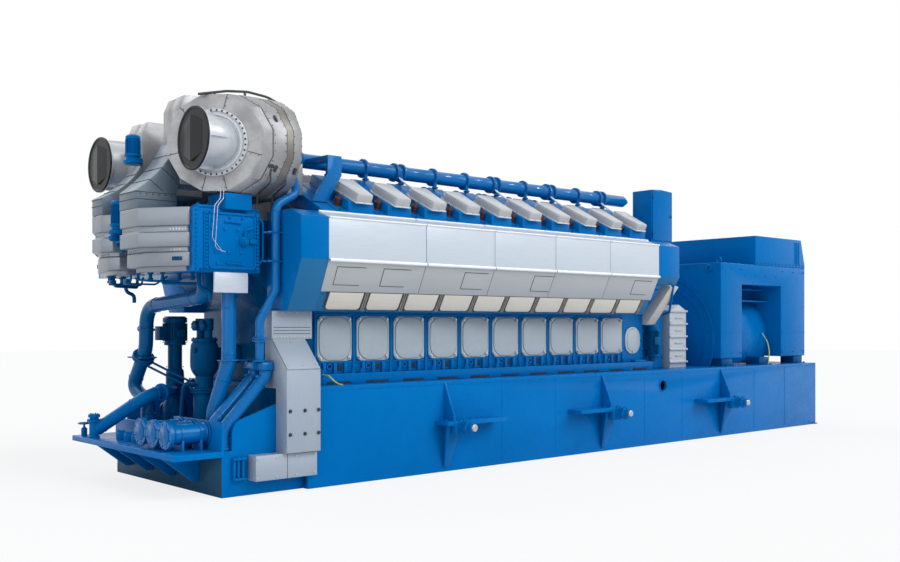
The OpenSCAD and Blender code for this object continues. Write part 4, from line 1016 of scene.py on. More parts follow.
SLANTED_ROW, CREAM_ROW = HOT_EDGES[:2], [(1380, 1950), (1500, 2160)]
# Painted shade: thin dark strips on three sides of each hatch stand for the shadow in its gap.
bm = bmesh.new()
for side in SIDES:
    for x in (1215, 1860, 3105, 4330, 6410):
        for x1, low, high in ((x + 7, 80, 300), (x + 400, 293, 300), (x + 360, 80, 86)):
            strip(bm, SLANTED_ROW, side, x, x1, low, high, 0, 3)
    for first in SEAMS[:-1]:
        strip(bm, SLANTED_ROW, side, first + 8, first + 520, 366, 372, 0, 2)
finished("hatch_gap_shade", bm, GASKET_AND_GAP_SHADE)

# %% Cream panels with dark posts between them


def window_place(side, x, up, out):
    """The place of a flat shape on the cream row, its Y up the slope and its Z outwards."""
    origin = on_slope(CREAM_ROW, side, x, up, out)
    y_axis = (on_slope(CREAM_ROW, side, x, up + 100, out) - origin).normalized()
    x_axis = Vector((-side, 0, 0))
    place = Matrix((x_axis, y_axis, x_axis.cross(y_axis))).transposed().to_4x4()
    return Matrix.Translation(origin) @ place


def panel_outline(width, height, corner):
    """A panel with square top corners and round lower ones."""
    outline = [(width / 2, height / 2), (-width / 2, height / 2)]
    for sx, first in ((-1, 180), (1, 270)):
        for i in range(6):
            angle = math.radians(first + 18 * i)
            outline.append((sx * (width / 2 - corner) + corner * math.cos(angle),
                            -height / 2 + corner + corner * math.sin(angle)))
    return outline


bm, frames, posts = bmesh.new(), bmesh.new(), bmesh.new()
for side in SIDES:
    for i in range(CYLINDERS):
        first, last = max(HOT_FRONT + 20, BLOCK_X + i * PITCH - 150), BLOCK_X + i * PITCH + 343
        middle, width = (first + last) / 2, (last - first) * MM
        inner, outer = window_place(side, middle, 121, -24), window_place(side, middle, 125, -12)
        outline_plate(frames, panel_outline(width, 0.232, 0.050), 0.012, inner, 0.002)
        outline_plate(bm, panel_outline(width - 0.030, 0.214, 0.044), 0.010, outer, 0.003)
        for x in (last + 19, last + 48):
            strip(posts, CREAM_ROW, side, x - 9, x + 9, 6, 236, -24, -2)
finished("cream_panels", bm, CREAM, "window_covers")
finished("panel_seals", frames, GASKET_AND_GAP_SHADE)
finished("panel_posts", posts, POST)

# %% [markdown]
# ## Cylinder heads
#
# Each head carries a pressed rocker cover with one long side cut off at a slant, so that
# two covers clear each other when one is lifted. Its foot is a flat rim with bolts, and
# fine ribs on its outer end and on one side let the sheet shed heat. Beside each cover
# stands an ignition coil, cast in dark resin, with a plug lead that goes down into the head.

# %% The frame of one head
HEAD_TOP, LEDGE = 2115.5, 2005.5


def on_head(side, i, radius, x=0.0, across=0.0):
    """The place of a shape on head i: its X along the engine and its Z along the cylinder."""
    tilt = Matrix.Diagonal((1, -side, 1, 1)) @ Matrix.Rotation(BANK_TILT, 4, "X")
    crank = Matrix.Translation(at(station(i), 0, CRANK_Z))
    return crank @ tilt @ Matrix.Translation((x * MM, across * MM, radius * MM))


def cover_outline(inset):
    """The rocker cover seen along the cylinder, in metres."""
    corners = [(-70 + inset, -580 + inset), (165 - inset, -580 + inset), (205 - inset, -60 - inset),
               (-85 + inset, -60 - inset), (-115 + inset, -150 - inset)]
    return [(x * MM, y * MM) for x, y in corners]


heads = [(side, i) for side in SIDES for i in range(CYLINDERS)]
print("heads:", len(heads))

# %% Rocker covers
bm, rims = bmesh.new(), bmesh.new()
for side, i in heads:
    top = on_head(side, i, HEAD_TOP)
    outline_plate(rims, cover_outline(0), 0.014, top, 0.002)
    outline_plate(bm, cover_outline(16), 0.096, top @ Matrix.Translation((0, 0, 0.014)), 0.006)
    outline_plate(bm, cover_outline(46), 0.005, top @ Matrix.Translation((0, 0, 0.107)), 0.002)
    for k in range(10):
        x = -0.040 + k * 0.021
        box(bm, (x - 0.003, -0.567, 0.018), (x + 0.003, -0.560, 0.090), 0.0, top)
    for k in range(15):
        y = -0.545 + k * 0.028
        x = -0.058 - 0.105 * (y + 0.545)
        box(bm, (x - 0.006, y - 0.003, 0.018), (x + 0.006, y + 0.003, 0.090), 0.0, top)
finished("rocker_cover_sheets", bm, COVER_SHEET, "rocker_covers")
finished("rocker_cover_rims", rims, COVER_WHITE)

bm = bmesh.new()
for side, i in heads:
    top = on_head(side, i, HEAD_TOP)
    for x, y in ((-60, -571), (50, -571), (155, -571), (196, -70), (60, -69), (-77, -69), (-92, -350), (185, -330)):
        bolt(bm, top @ Vector((x * MM, y * MM, 0.013)), top.to_3x3() @ Vector(UP), 0.016, x)
finished("rocker_cover_bolts", bm, ZINC)

# %% Ignition coils with their leads
bm, rings, leads = bmesh.new(), bmesh.new(), bmesh.new()
for side, i in heads:
    foot = on_head(side, i, LEDGE, -175, -390)
    turned(bm, [(0, 0), (0.044, 0), (0.044, 0.010), (0.037, 0.014), (0.037, 0.076), (0.043, 0.080), (0.043, 0.092),
                (0.030, 0.096), (0.026, 0.110), (0, 0.110)], foot, 20)
    for z in (0.030, 0.054):
        turned(rings, [(0.036, z), (0.041, z), (0.041, z + 0.010), (0.036, z + 0.010)], foot, 20)
    lead = ((0.0, 0, 0.112), (0.0, 0.03, 0.135), (0.01, 0.10, 0.12), (0.03, 0.15, 0.02))
    tube(leads, [foot @ Vector(p) for p in lead], 0.008, 0.05, 8)
finished("ignition_coil_castings", bm, COIL, "ignition_coils")
finished("ignition_coil_rings", rings, BLACK)
finished("ignition_leads", leads, RUBBER)

# %% Nuts on the heads
bm = bmesh.new()
for side, i in heads:
    ledge = on_head(side, i, LEDGE)
    for x, y in ((-225, -540), (240, -360)):
        turned(bm, [(0, 0), (0.020, 0), (0.020, 0.008), (0.014, 0.010), (0.014, 0.026), (0, 0.028)],
               facing(ledge @ Vector((x * MM, y * MM, 0)), ledge.to_3x3() @ Vector(UP)), 10)
finished("head_nuts", bm, CAST_BLUE)

# %% [markdown]
# ### The fuel gas pipe
#
# The gas pipe runs along each bank in lengths that end in a pair of thin flanges. Each pair
# is drawn together by bolts, with a bare seal ring between. A flanged valve stands at its
# front end, and slim stay rods hold the pipe down to the heads.

# %% Flanges, valve and stays of the gas pipe
GAS_SIDE, GAS_Z, GAS_R = 700, 3710, 0.086
STAYED = (2, 5, 7, 9)
flanges = []
for i in range(1, CYLINDERS):
    middle = station(i) + 45
    flanges += [middle - 60, middle + 50] if i in STAYED else [middle + 15]

bm, seals, stays = bmesh.new(), bmesh.new(), bmesh.new()
for side in SIDES:
    y = side * GAS_SIDE
    for x in flanges:
        for dx, way in ((-16, -1), (16, 1)):
            bolt_circle(bm, at(x + dx, y, GAS_Z), (way, 0, 0), 0.101, 10, 0.015)
            weld(bm, at(x + 1.9 * dx, y, GAS_Z), ALONG, GAS_R)
        ring(seals, at(x, y, GAS_Z), ALONG, 0.110, 0.1172, 0.006)
    for i in STAYED:
        x = station(i) + 30
        stay = course((x, 755, GAS_Z - 70), (x + 60, 830, GAS_Z - 150), (x + 190, 1010, 3400), side=side)
        tube(stays, stay, 0.013, 0.05, 12)
    for i in range(CYLINDERS):
        ring(bm, at(station(i) + 60, side * 760, 3570), UP, 0.024, 0.042, 0.020, 18)
    for x in (1300, 1240, 1176):
        ring(bm, at(x, y, GAS_Z), ALONG, 0.090, 0.130, 0.022, 28)
        bolt_circle(bm, at(x - 11, y, GAS_Z), (-1, 0, 0), 0.113, 10, 0.016)
    for x in (1100, 1050, 1000, 950):
        ring(bm, at(x, y, GAS_Z), ALONG, 0.090, 0.099, 0.014, 28)
    turned(bm, [(0, 0), (0.096, 0), (0.090, 0.016), (0.060, 0.034), (0, 0.040)],
           facing(at(912, y, GAS_Z), (-1, 0, 0)), 28)
    turned(bm, [(0, 0), (0.040, 0), (0.040, 0.040), (0.060, 0.044), (0.060, 0.062), (0.034, 0.066), (0.030, 0.100),
                (0, 0.104)], facing(at(1208, y, GAS_Z + 84), UP), 22)
finished("gas_pipe_fittings", bm, CAST_BLUE)
finished("gas_pipe_seals", seals, GASKET_AND_GAP_SHADE)
finished("gas_pipe_stays", stays, TRIM_AND_HIGHLIGHT)

# %% [markdown]
# ## Turbochargers
#
# The hot turbine casing is wrapped in insulation: twelve-sided drums of stainless sheet,
# made in short bands that a fitter can unbuckle. The near one turns gradually from the
# engine's line to its slanted outlet, so each band is lofted between two twelve-sided
# sections on the way. Beside it stands the square casing of the compressor, and a curved
# sheet duct takes its air down to the cooler.

# %% Twelve-sided sections
TURBO_Z = 3710
DRUM_SIDES = 12
DRUM_R = 512 / math.cos(math.pi / DRUM_SIDES)
DRUMS = {
    # side: the drum's stations, each with x, y, its turn in degrees and its scale
    -1: [(30, 1080, 45, 1.0), (560, 1020, 15, 1.03), (849, 960, 0, 1.03)],
    1: [(300, 1080, 0, 1.0), (695, 1020, 0, 1.03), (849, 960, 0, 1.03)],
}


def drum_section(side, t, grow=0.0):
    """A section of a drum, t along its stations, grown by some millimetres."""
    stations = DRUMS[side]
    first = min(int(t), len(stations) - 2)
    share = t - first
    x, y, turn, scale = [a + (b - a) * share for a, b in zip(stations[first], stations[first + 1])]
    radius, swing = DRUM_R * scale + grow, math.radians(turn)
    section = []
    for k in range(DRUM_SIDES):
        angle = math.tau * (k + 0.5) / DRUM_SIDES
        out, up = radius * math.sin(angle), radius * math.cos(angle)
        section.append((x - out * math.sin(swing), y - out * math.cos(swing), TURBO_Z - up))
    return course(*section, side=side)


def loft(bm, side, *stops):
    """A closed skin over sections of a drum, each a place along it and its growth."""
    part = bmesh.new()
    rings = [[part.verts.new(p) for p in drum_section(side, t, grow)] for t, grow in stops]
    for a, b in zip(rings, rings[1:]):
        for k in range(DRUM_SIDES):
            n = (k + 1) % DRUM_SIDES
            part.faces.new((a[k], a[n], b[n], b[k]))
    part.faces.new(rings[0])
    part.faces.new(rings[-1])
    bmesh.ops.recalc_face_normals(part, faces=part.faces)
    join(bm, part)


def band(bm, side, t0, t1, grow):
    """One band of insulation with its folded edges."""
    fold = 0.02
    loft(bm, side, (t0, grow - 14), (t0, grow - 2), (t0 + fold, grow), (t1 - fold, grow), (t1, grow - 2),
         (t1, grow - 14))


print("drum radius", round(DRUM_R), "mm")

# %% Drums in bands of bare and browned sheet
bright, brown = bmesh.new(), bmesh.new()
for side in DRUMS:
    loft(bright, side, (0.02, -10), (2.0, -14))
    loft(bright, side, (0.0, -30), (0.0, -5), (0.03, 0), (0.30, 0), (0.30, -14))
    band(bright, side, 0.32, 0.78, 4)
    band(brown, side, 0.80, 1.14, 0)
    band(bright, side, 1.16, 1.98, 5)
for side, top in ((-1, 4270), (1, 4120)):
    casing = [(-150, 3300), (-150, min(4130, top - 140)), (-90, top), (600, top), (600, 3300)]
    for y0, y1, inset in ((660, 455, 0), (453, 250, 6)):
        corners = [(x + (inset if x < 0 else -inset), y0, z - (inset if z > 4000 else 0)) for x, z in casing]
        join(bright, raised(course(*corners, side=side), (0, side * (y1 - y0) * MM, 0), 0.012))
finished("turbine_cassettes", bright, CASSETTE, "turbo_casings")
finished("turbine_hot_bands", brown, BROWNED)

# %% Buckles, rivets and seams on the cassettes
bm, seams = bmesh.new(), bmesh.new()
for side in DRUMS:
    for t in (0.36, 0.74, 1.20, 1.94):
        section = drum_section(side, t, 5)
        middle = sum(section, Vector()) / DRUM_SIDES
        for a, b in zip(section, section[1:] + section[:1]):
            for share in (0.2, 0.5, 0.8):
                rivet(bm, a.lerp(b, share), (a + b) / 2 - middle)
    for t in (0.31, 0.79, 1.15):
        section = drum_section(side, t, -3)
        for a, b in zip(section, section[1:] + section[:1]):
            seam(seams, a, b, 0.006)
    rim = drum_section(side, 0, 2)
    hub = sum(rim, Vector()) / DRUM_SIDES
    ahead = (rim[3] - rim[0]).cross(rim[6] - rim[0]).normalized()
    ahead = (-ahead if ahead.x > 0 else ahead) * MM
    for k in (0, 2, 4, 6, 9, 11):
        seam(seams, hub.lerp(rim[k], 0.69) + ahead, hub.lerp(rim[k], 0.985) + ahead, 0.004)
        for share in (0.76, 0.92):
            rivet(bm, hub.lerp(rim[k], share) + ahead * 1.5 + (rim[(k + 1) % DRUM_SIDES] - rim[k]) * 0.05, ahead)
    for t, k in ((0.55, 9), (0.55, 7), (1.6, 9)):
        section = drum_section(side, t, 8)
        middle = (section[k] + section[(k + 1) % DRUM_SIDES]) / 2
        place = facing(middle, middle - sum(section, Vector()) / DRUM_SIDES)
        outline_plate(bm, rounded_rectangle(0.034, 0.075, 0.008, 3), 0.014, place, 0.003)
CASING_HALF, CASING_TOP = 360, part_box("exhaust_casing")[1].z / MM
for k in range(12):
    x = 1200 + k * 545
    corners = ((-CASING_HALF, CASING_TOP - 330), (-CASING_HALF, CASING_TOP), (CASING_HALF, CASING_TOP),
               (CASING_HALF, CASING_TOP - 330))
    tube(seams, [at(x, y, z) for y, z in corners], 0.005, 0.01, 6)
    for dx in (-30, 30):
        ends = [at(x + dx, y, CASING_TOP) for y in (40 - CASING_HALF, CASING_HALF - 40)]
        bolt_row(bm, *ends, 5, UP, 0.016)
finished("cassette_rivets", bm, DARK_METAL)
finished("cassette_seams", seams, GASKET_AND_GAP_SHADE)

# %% [markdown]
# ### Gas outlets
#
# The exhaust leaves through a bolted ring in the front of the drum and a short elbow that
# brings it back to the engine's line. A black moulded disc closes it for transport. The
# elbow is a skin over circles that turn from the ring's plane to the disc's.

# %% Outlet rings, elbows and fins
BLANK_X, BLANK_Y = -250, 1170
ELBOW_STEPS, ELBOW_SIDES = 8, 48

bm, bolts = bmesh.new(), bmesh.new()
for side in DRUMS:
    x, y, turn, _ = DRUMS[side][0]
    swing = math.radians(turn)
    out = Vector((-math.cos(swing), side * math.sin(swing), 0))
    start, end = at(x, side * y, TURBO_Z), at(BLANK_X, side * BLANK_Y, TURBO_Z)
    turned(bm, [(0, 0), (0.354, 0), (0.354, 0.024), (0.346, 0.030), (0.326, 0.030), (0.320, 0.018), (0.312, 0.018),
                (0.306, 0.034), (0.282, 0.034), (0.276, 0.014), (0, 0.014)], facing(start, out), 64)
    bolt_circle(bolts, start + out * 0.030, out, 0.337, 36, 0.016)
    knee = start + out * (0.55 * (end - start).length)
    elbow = bmesh.new()
    rings, spine = [], []
    for t in (k / ELBOW_STEPS for k in range(ELBOW_STEPS + 1)):
        spine.append((start + out * 0.010) * (1 - t) ** 2 + knee * 2 * t * (1 - t) + end * t ** 2)
        place = facing(spine[-1], out * (1 - t) + Vector((-1, 0, 0)) * t)
        radius = 0.252 + 0.026 * t
        angles = [math.tau * s / ELBOW_SIDES for s in range(ELBOW_SIDES)]
        rings.append([elbow.verts.new(place @ Vector((radius * math.cos(a), radius * math.sin(a), 0))) for a in angles])
    for a, b in zip(rings, rings[1:]):
        shift = min(range(ELBOW_SIDES), key=lambda n: (a[0].co - b[n].co).length)
        b = b[shift:] + b[:shift]
        for s in range(ELBOW_SIDES):
            n = (s + 1) % ELBOW_SIDES
            elbow.faces.new((a[s], a[n], b[n], b[s]))
    join(bm, elbow)
    for up in (Vector(UP), -Vector(UP), Vector((0, side, 0))):
        thick = Vector((0, 0.005, 0)) if up.z else Vector((0, 0, 0.005))
        for a, b in zip(spine, spine[1:]):
            points = [a + up * 0.21, a + up * 0.302, b + up * 0.302, b + up * 0.21]
            hull(bm, [p + thick * way for p in points for way in (-1, 1)])
    ring(bm, end + Vector((0.004, 0, 0)), (-1, 0, 0), 0.262, 0.331, 0.014, 64)
finished("outlet_elbows", bm, OUTLET, "turbo_outlets", sharp=40)
finished("outlet_bolts", bolts, DARK_METAL)

# %% Blanking discs
FOLD_X = -0.02

bm = bmesh.new()
for side in SIDES:
    face = facing(at(BLANK_X, side * BLANK_Y, TURBO_Z), (-1, 0, 0))
    turned(bm, [(0, 0), (0.322, 0), (0.331, 0.004), (0.331, 0.019), (0.326, 0.025), (0.306, 0.025), (0.296, 0.016),
                (0, 0.016)], face, 64)
    for corners in ([(-0.20, -0.155), (FOLD_X, -0.235), (FOLD_X, 0.235), (-0.20, 0.155)],
                    [(FOLD_X, -0.235), (0.19, -0.165), (0.19, 0.165), (FOLD_X, 0.235)]):
        hull(bm, [face @ Vector((x, y, z)) for x, y in corners for z in (0.010, 0.038 if x == FOLD_X else 0.018)])
finished("blanking_discs", bm, DISC, "blanking_plates")

# %% [markdown]
# ### Small fittings at the turbochargers
#
# A dark rail carries cables over the top of the near drum and ends at a wire guard, which
# keeps hands off the hot joint. Small brackets with a black knob clamp the drum to the
# cooler, and thin lines for oil and air run from under the drum down to the cooler's cover.

# %% Rail, wire guard, clamps and lines
bm, wires, knobs = bmesh.new(), bmesh.new(), bmesh.new()
rail = [at(x, -1030, z) for x, z in ((-130, 4205), (200, 4286), (450, 4316), (700, 4296), (860, 4240))]
tube(bm, rail, 0.014, 0.3, 10)
for x, z in ((60, 4240), (420, 4310), (760, 4270)):
    box(bm, at(x - 10, -1044, 4190), at(x + 10, -1016, z), 0.003)
for x in range(700, 833, 22):
    tube(wires, course((x, -1210, 4130), (x, -1330, 4040), (x, -1430, 3900)), 0.003, 0.05, 6)
for t in (k / 5 for k in range(6)):
    y, z = -1210 - 220 * t, 4130 - 230 * t + 35 * math.sin(math.pi * t)
    seam(wires, at(696, y, z), at(836, y, z))
for side in SIDES:
    for x, y in ((500, 1420), (700, 1400)):
        turned(knobs, [(0, 0), (0.014, 0), (0.014, 0.030), (0.034, 0.034), (0.038, 0.044), (0.038, 0.066),
                       (0.030, 0.074), (0.018, 0.075), (0.018, 0.098), (0, 0.100)],
               facing(at(x, side * y, 3420), UP), 18)
        hook = ((x, y, 3424), (x, y, 3300), (x - 20, y - 230, 3190), (x - 20, y - 260, 3020))
        tube(bm, course(*hook, side=side), 0.009, 0.06, 8)
    for dx, spread in ((0, 0), (35, 108)):
        line = ((60 + dx, 1150, 3225), (40 + dx, 1186, 3120), (-30 + dx, 1192, 3040), (-60 + dx, 1192, 2700 - spread),
                (60 + dx, 1192, 2560))
        tube(wires, course(*line, side=side), 0.0035, 0.05, 6)
finished("turbo_rail", bm, DARK_METAL)
finished("turbo_wires", wires, ZINC)
finished("turbo_knobs", knobs, BLACK)

# %% [markdown]
# ## Air ducts, air boxes and coolers
#
# The compressor's air goes down through a sheet duct with a hollow curve into insulated
# boxes on the cooler. Every box is built in tiers with a recessed groove between two, where
# a row of fasteners holds the cladding. The cooler itself is a casting with a bolted cover
# on each side.

# %% Ducts between compressor and cooler
AIR_FRONT, COOLER_TOP = -635, 3010

bm, seams = bmesh.new(), bmesh.new()
for side, y0, y1, top in ((-1, 650, 220, 3780), (1, 500, 220, 3620)):
    curve = []
    for t in (k / 8 for k in range(9)):
        sag = 34 * math.sin(math.pi * t)
        curve.append((-150 + (AIR_FRONT + 150) * t + sag, top + (3200 - top) * t - sag))
    outline = curve + [(AIR_FRONT, COOLER_TOP), (-180, COOLER_TOP), (-180, 3200), (-150, 3310)]
    corners = [at(x, side * y0, z) for x, z in outline]
    join(bm, raised(corners, (0, side * (y1 - y0) * MM, 0), 0.010, angle=50))
    near, far = side * (y0 + 3), side * (y1 - 3)
    for (x, z), dx, dz in ((curve[2], 150, -112.5), (curve[4], 150, -112.5), (curve[6], 150, -112.5),
                           ((AIR_FRONT, 3185), 440, 0), ((AIR_FRONT, 3110), 440, 0)):
        seam(seams, at(x, near, z), at(x + dx, near, z + dz), 0.0035)
        seam(seams, at(x - 3, near, z + 1), at(x - 3, far, z + 1), 0.0035)
    for k in range(6):
        rivet(seams, at(AIR_FRONT + 40 + k * 70, near, 3165), (0, side, 0), 0.008, 0.006, 0.008)
finished("air_duct_sheets", bm, DUCT, "air_ducts")
finished("air_duct_seams", seams, GASKET_AND_GAP_SHADE)

# %% Air boxes in tiers
copy = from_cad("air_boxes")
soften(copy, 0.010)
finished("air_box_cladding", copy, AIR_BOX, "air_boxes", outwards=False)

# %% Fasteners in the grooves, a louvre, and the fittings below the boxes
COOLER_Z = 2350
GROOVES = ((435.6, 0), (224.4, 60))
PLUGS = ((-180, 700, 0.034), (-330, 620, 0.028), (-420, 520, 0.034), (-120, 880, 0.030), (-470, 330, 0.026),
         (20, 760, 0.030))
OIL_LINES = (
    # radius, bend, sides, then the route
    (0.013, 0.05, 10, (-180, 700, 2290), (-180, 700, 2262), (-420, 520, 2262), (-470, 330, 2280)),
    (0.016, 0.06, 10, (20, 760, 2290), (20, 760, 2236), (-330, 600, 2240), (-330, 620, 2300)),
    (0.011, 0.05, 10, (-520, 260, 2330), (-520, 260, 2250), (-560, 180, 2240), (-200, 180, 2240), (-120, 300, 2330)),
    (0.022, 0.08, 12, (-60, 900, 2330), (-60, 900, 2190), (60, 930, 2150), (60, 930, 2060)),
)


def slanted_wall(side, out_y, back):
    """The inner end, the direction and the outward normal of an air box's slanted wall."""
    root, tip = Vector((-306, side * 1130, 0)), Vector((AIR_FRONT + back, side * out_y, 0))
    along = (tip - root).normalized()
    normal = Vector((along.y * side, -along.x * side, 0))
    return root, along, -normal if normal.x > 0 else normal


bm, below = bmesh.new(), bmesh.new()
for side, out_y in ((-1, 670), (1, 490)):
    for height, back in GROOVES:
        root, along, normal = slanted_wall(side, out_y, back)
        for k in range(6):
            x, y, _ = root + along * (30 + k * 34) - normal * 25
            bolt(bm, at(x, y, COOLER_Z + height), normal, 0.016)
        for k in range(6 if side < 0 else 4):
            bolt(bm, at(AIR_FRONT + back + 25, side * (280 + k * 50), COOLER_Z + height), (-1, 0, 0), 0.014)
    root, along, normal = slanted_wall(side, out_y, 80)
    for k in range(7):
        x, y, _ = root + along * (70 + k * 18)
        box(below, (-0.005, -0.020, -0.003), (0.005, 0.020, 0.008), 0.0, facing(at(x, y, COOLER_Z + 130), normal))
    for x, y, size in PLUGS:
        turned(below, [(0, 0), (size, 0), (size, 0.014), (size * 0.6, 0.018), (size * 0.6, 0.055),
                       (size * 0.85, 0.058), (size * 0.85, 0.080), (0, 0.084)],
               facing(at(x, side * y, COOLER_Z), (0, 0, -1)), 14)
    for radius, bend, sides, *route in OIL_LINES:
        tube(below, course(*route, side=side), radius, bend, sides)
    box(below, *course((-560, 150, 2232), (-500, 230, 2290), side=side), 0.006)
finished("air_box_bolts", bm, ZINC)
finished("air_box_fittings", below, DEEP_BLUE)

# %% Actuators of the bypass valves


def actuator(bm, x, y, z, body, tall):
    """A finned upright drive on its flange."""
    foot = at(x, y, z)
    turned(bm, [(0, 0), (body + 0.005, 0), (body + 0.022, 0.012), (body + 0.022, 0.040), (body - 0.010, 0.052),
                (body - 0.010, 0.085), (body + 0.010, 0.090), (body + 0.010, 0.115), (body - 0.014, 0.122),
                (body - 0.014, tall - 0.050), (body - 0.004, tall - 0.046), (body - 0.004, tall - 0.016),
                (body - 0.020, tall), (0, tall)], facing(foot, UP), 28)
    fins(bm, foot, 24, (body - 0.018, -0.0025, 0.124), (body - 0.001, 0.0025, tall - 0.052))
    bolt_circle(bm, foot + Vector((0, 0, 0.040)), UP, body + 0.010, 8, 0.014)


bm = bmesh.new()
actuator(bm, -540, 5, 2780, 0.085, 0.370)
actuator(bm, -275, 230, 3600, 0.085, 0.330)
box(bm, at(-540, -60, 2810), at(-270, 60, 2870), 0.006)
box(bm, at(-275, 250, 3630), at(-150, 320, 3690), 0.006)
box(bm, at(-560, -75, 2690), at(-480, 75, 2782), 0.012)
tube(bm, course((-520, 60, 2750), (-520, 120, 2700), (-430, 130, 2600)), 0.022, 0.08, 14)
turned(bm, [(0, 0), (0.030, 0), (0.034, 0.02), (0.034, 0.09), (0.024, 0.11), (0, 0.112)],
       facing(at(-560, -20, 2735), (-1, -0.3, 0)), 18)
finished("bypass_actuators", bm, CAST_BLUE, "air_actuators")

# %% Cooler covers, their bolts and fittings
COVER_WALL = 1160
EDGE_BOLTS = (
    # x, y and z of the first and last bolt, how many, and their width
    ((-55, COVER_WALL, 2962), (430, COVER_WALL, 2962), 9, 0.024),
    ((-55, COVER_WALL, 2397), (430, COVER_WALL, 2397), 9, 0.024),
    ((488, COVER_WALL, 2400), (488, COVER_WALL, 2960), 16, 0.034),
    ((-112, COVER_WALL, 2400), (-112, COVER_WALL, 2960), 16, 0.030),
    ((-240, 1190, 2380), (-240, 1190, 2980), 14, 0.022),
)

copy = from_cad("cooler_covers")
soften(copy, 0.006)
bm, fitting = bmesh.new(), bmesh.new()
for side in SIDES:
    for x0, x1, z0, z1 in ((-140, -122, 2384, 2976), (-90, -72, 2384, 2976), (455, 473, 2384, 2976),
                           (-130, 470, 2384, 2408), (-130, 470, 2952, 2976)):
        box(copy, *course((x0, COVER_WALL - 1, z0), (x1, COVER_WALL + 12, z1), side=side), 0.003)
    for z, shift in ((2930, 60), (2880, 10), (2800, 0), (2560, 40), (2440, 60)):
        for x in (shift - 40, shift + 110, shift + 260):
            turned(copy, [(0, 0), (0.020, 0), (0.018, 0.010), (0.010, 0.014), (0, 0.015)],
                   facing(at(x, side * COVER_WALL, z), (0, side, 0)), 12)

    for first, last, count, size in EDGE_BOLTS:
        bolt_row(bm, *course(first, last, side=side), count, (0, side, 0), size)

    boss = at(330, side * COVER_WALL, 2680)
    turned(fitting, [(0, 0), (0.058, 0), (0.058, 0.014), (0.044, 0.018), (0.044, 0.040), (0.030, 0.046),
                     (0.026, 0.062), (0, 0.064)], facing(boss, (0, side, 0)), 24)
    hose = ((0, side * 0.028, 0.04), (0, side * 0.034, 0.12), (0.10, side * 0.034, 0.15))
    tube(fitting, [boss + Vector(p) for p in hose], 0.010, 0.04, 10)
    box(fitting, boss + Vector((0.06, side * 0.022 - 0.012, -0.02)),
        boss + Vector((0.15, side * 0.022 + 0.012, 0.03)), 0.005)
    for z in (2445, 2880):
        tube(fitting, course((120, COVER_WALL + 12, z), (300, COVER_WALL + 12, z - 10), side=side), 0.008, 0.03, 8)
    for x in (-200, 0, 200, 400):
        box(fitting, *course((x, 1000, 3008), (x + 90, 1115, 3046), side=side), 0.012)
        bolt(fitting, at(x + 45, side * 1060, 3046), UP, 0.030)
    line = ((515, 1150, 2960), (560, 1165, 2900), (560, 1165, 2500), (520, 1150, 2440))
    tube(fitting, course(*line, side=side), 0.010, 0.05, 10)
finished("cooler_cover_plates", copy, BLUE, "cooler_covers")
finished("cooler_cover_bolts", bm, CAST_BLUE)
finished("cooler_fittings", fitting, CAST_BLUE)

# %% [markdown]
# ## Cable boxes at the front corner
#
# The junction box, the upright cable duct and the foot duct are folded from sheet steel.
# Their covers are held by rows of small screws, a seam runs where two sheets meet, and the
# junction box has a few pressed louvres.

# %% Seams, screws and louvres
BOX_FACE, DUCT_FACE, FOOT_FACE = -1200, -1500, -1450
SCREWS = (
    # direction, width, the X stations, Y, and the Z stations
    ((-1, 0, 0), 0.018, (652,), -1420, (560, 860, 1180)),
    ((0, -1, 0), 0.018, (330, 560, 800, 1040), FOOT_FACE, (190, 392)),
    ((-1, 0, 0), 0.018, (305,), -1400, (200, 390)),
    ((0, -320, 300), 0.016, (690, 866, 1044), DUCT_FACE + 36, (1358.4,)),
    ((0, -320, 300), 0.016, (690, 866, 1044), DUCT_FACE + 264, (1601.6,)),
)

bm, seams, dark = bmesh.new(), bmesh.new(), bmesh.new()
for z in (1700, 1734, 1768):
    seam(seams, at(672, BOX_FACE - 1, z), at(1150, BOX_FACE - 1, z))
for z in (426, 1318):
    seam(seams, at(654, DUCT_FACE - 0.5, z), at(1080, DUCT_FACE - 0.5, z), 0.0028)
seam(seams, at(654, DUCT_FACE, 1322), at(654, BOX_FACE, 1642))
seam(seams, at(690, FOOT_FACE - 0.5, 162), at(690, FOOT_FACE - 0.5, 424), 0.0028)
for z, count in ((1665, 12), (1930, 6)):
    bolt_row(bm, at(690, BOX_FACE, z), at(1150, BOX_FACE, z), count, (0, -1, 0), 0.012)
for out, size, stations, y, heights in SCREWS:
    for x in stations:
        for z in heights:
            bolt(bm, at(x, y, z), out, size)
box(bm, at(1060, -1462, 1120), at(1074, -1440, 1300), 0.003)
for x in (693, 879, 1055):
    for z in (625, 875):
        bolt(dark, at(x, DUCT_FACE, z), (0, -1, 0), 0.030)
finished("cable_box_screws", bm, ZINC)
finished("cable_box_seams", seams, GASKET_AND_GAP_SHADE)
finished("duct_cover_bolts", dark, DARK_METAL)

# %% Clamps on the sides of the platform
bm = bmesh.new()
for side in SIDES:
    for x0, x1, z0, z1, reach in ((112, 136, 176, 412, 55), (106, 252, 388, 410, 80), (106, 252, 178, 200, 80)):
        box(bm, *course((x0, 1280, z0), (x1, 1280 + reach, z1), side=side), 0.004)
    for x in (170, 226):
        turned(bm, [(0, 0), (0.026, 0), (0.026, 0.020), (0.015, 0.024), (0.015, 0.226), (0.026, 0.230),
                    (0.026, 0.250), (0, 0.252)], facing(at(x, side * 1325, 170), UP), 14)
finished("platform_clamps", bm, CAST_BLUE)

# %% [markdown]
# ## Brackets and jacks along the frame
#
# Each bracket is a gusset with a shelf across it. A tapered plate under the shelf keeps the
# gusset from buckling. The levelling jack is a round housing on a square foot: it is drawn
# as a turned shape that looks away from the frame, with a bright, zinc plated end.

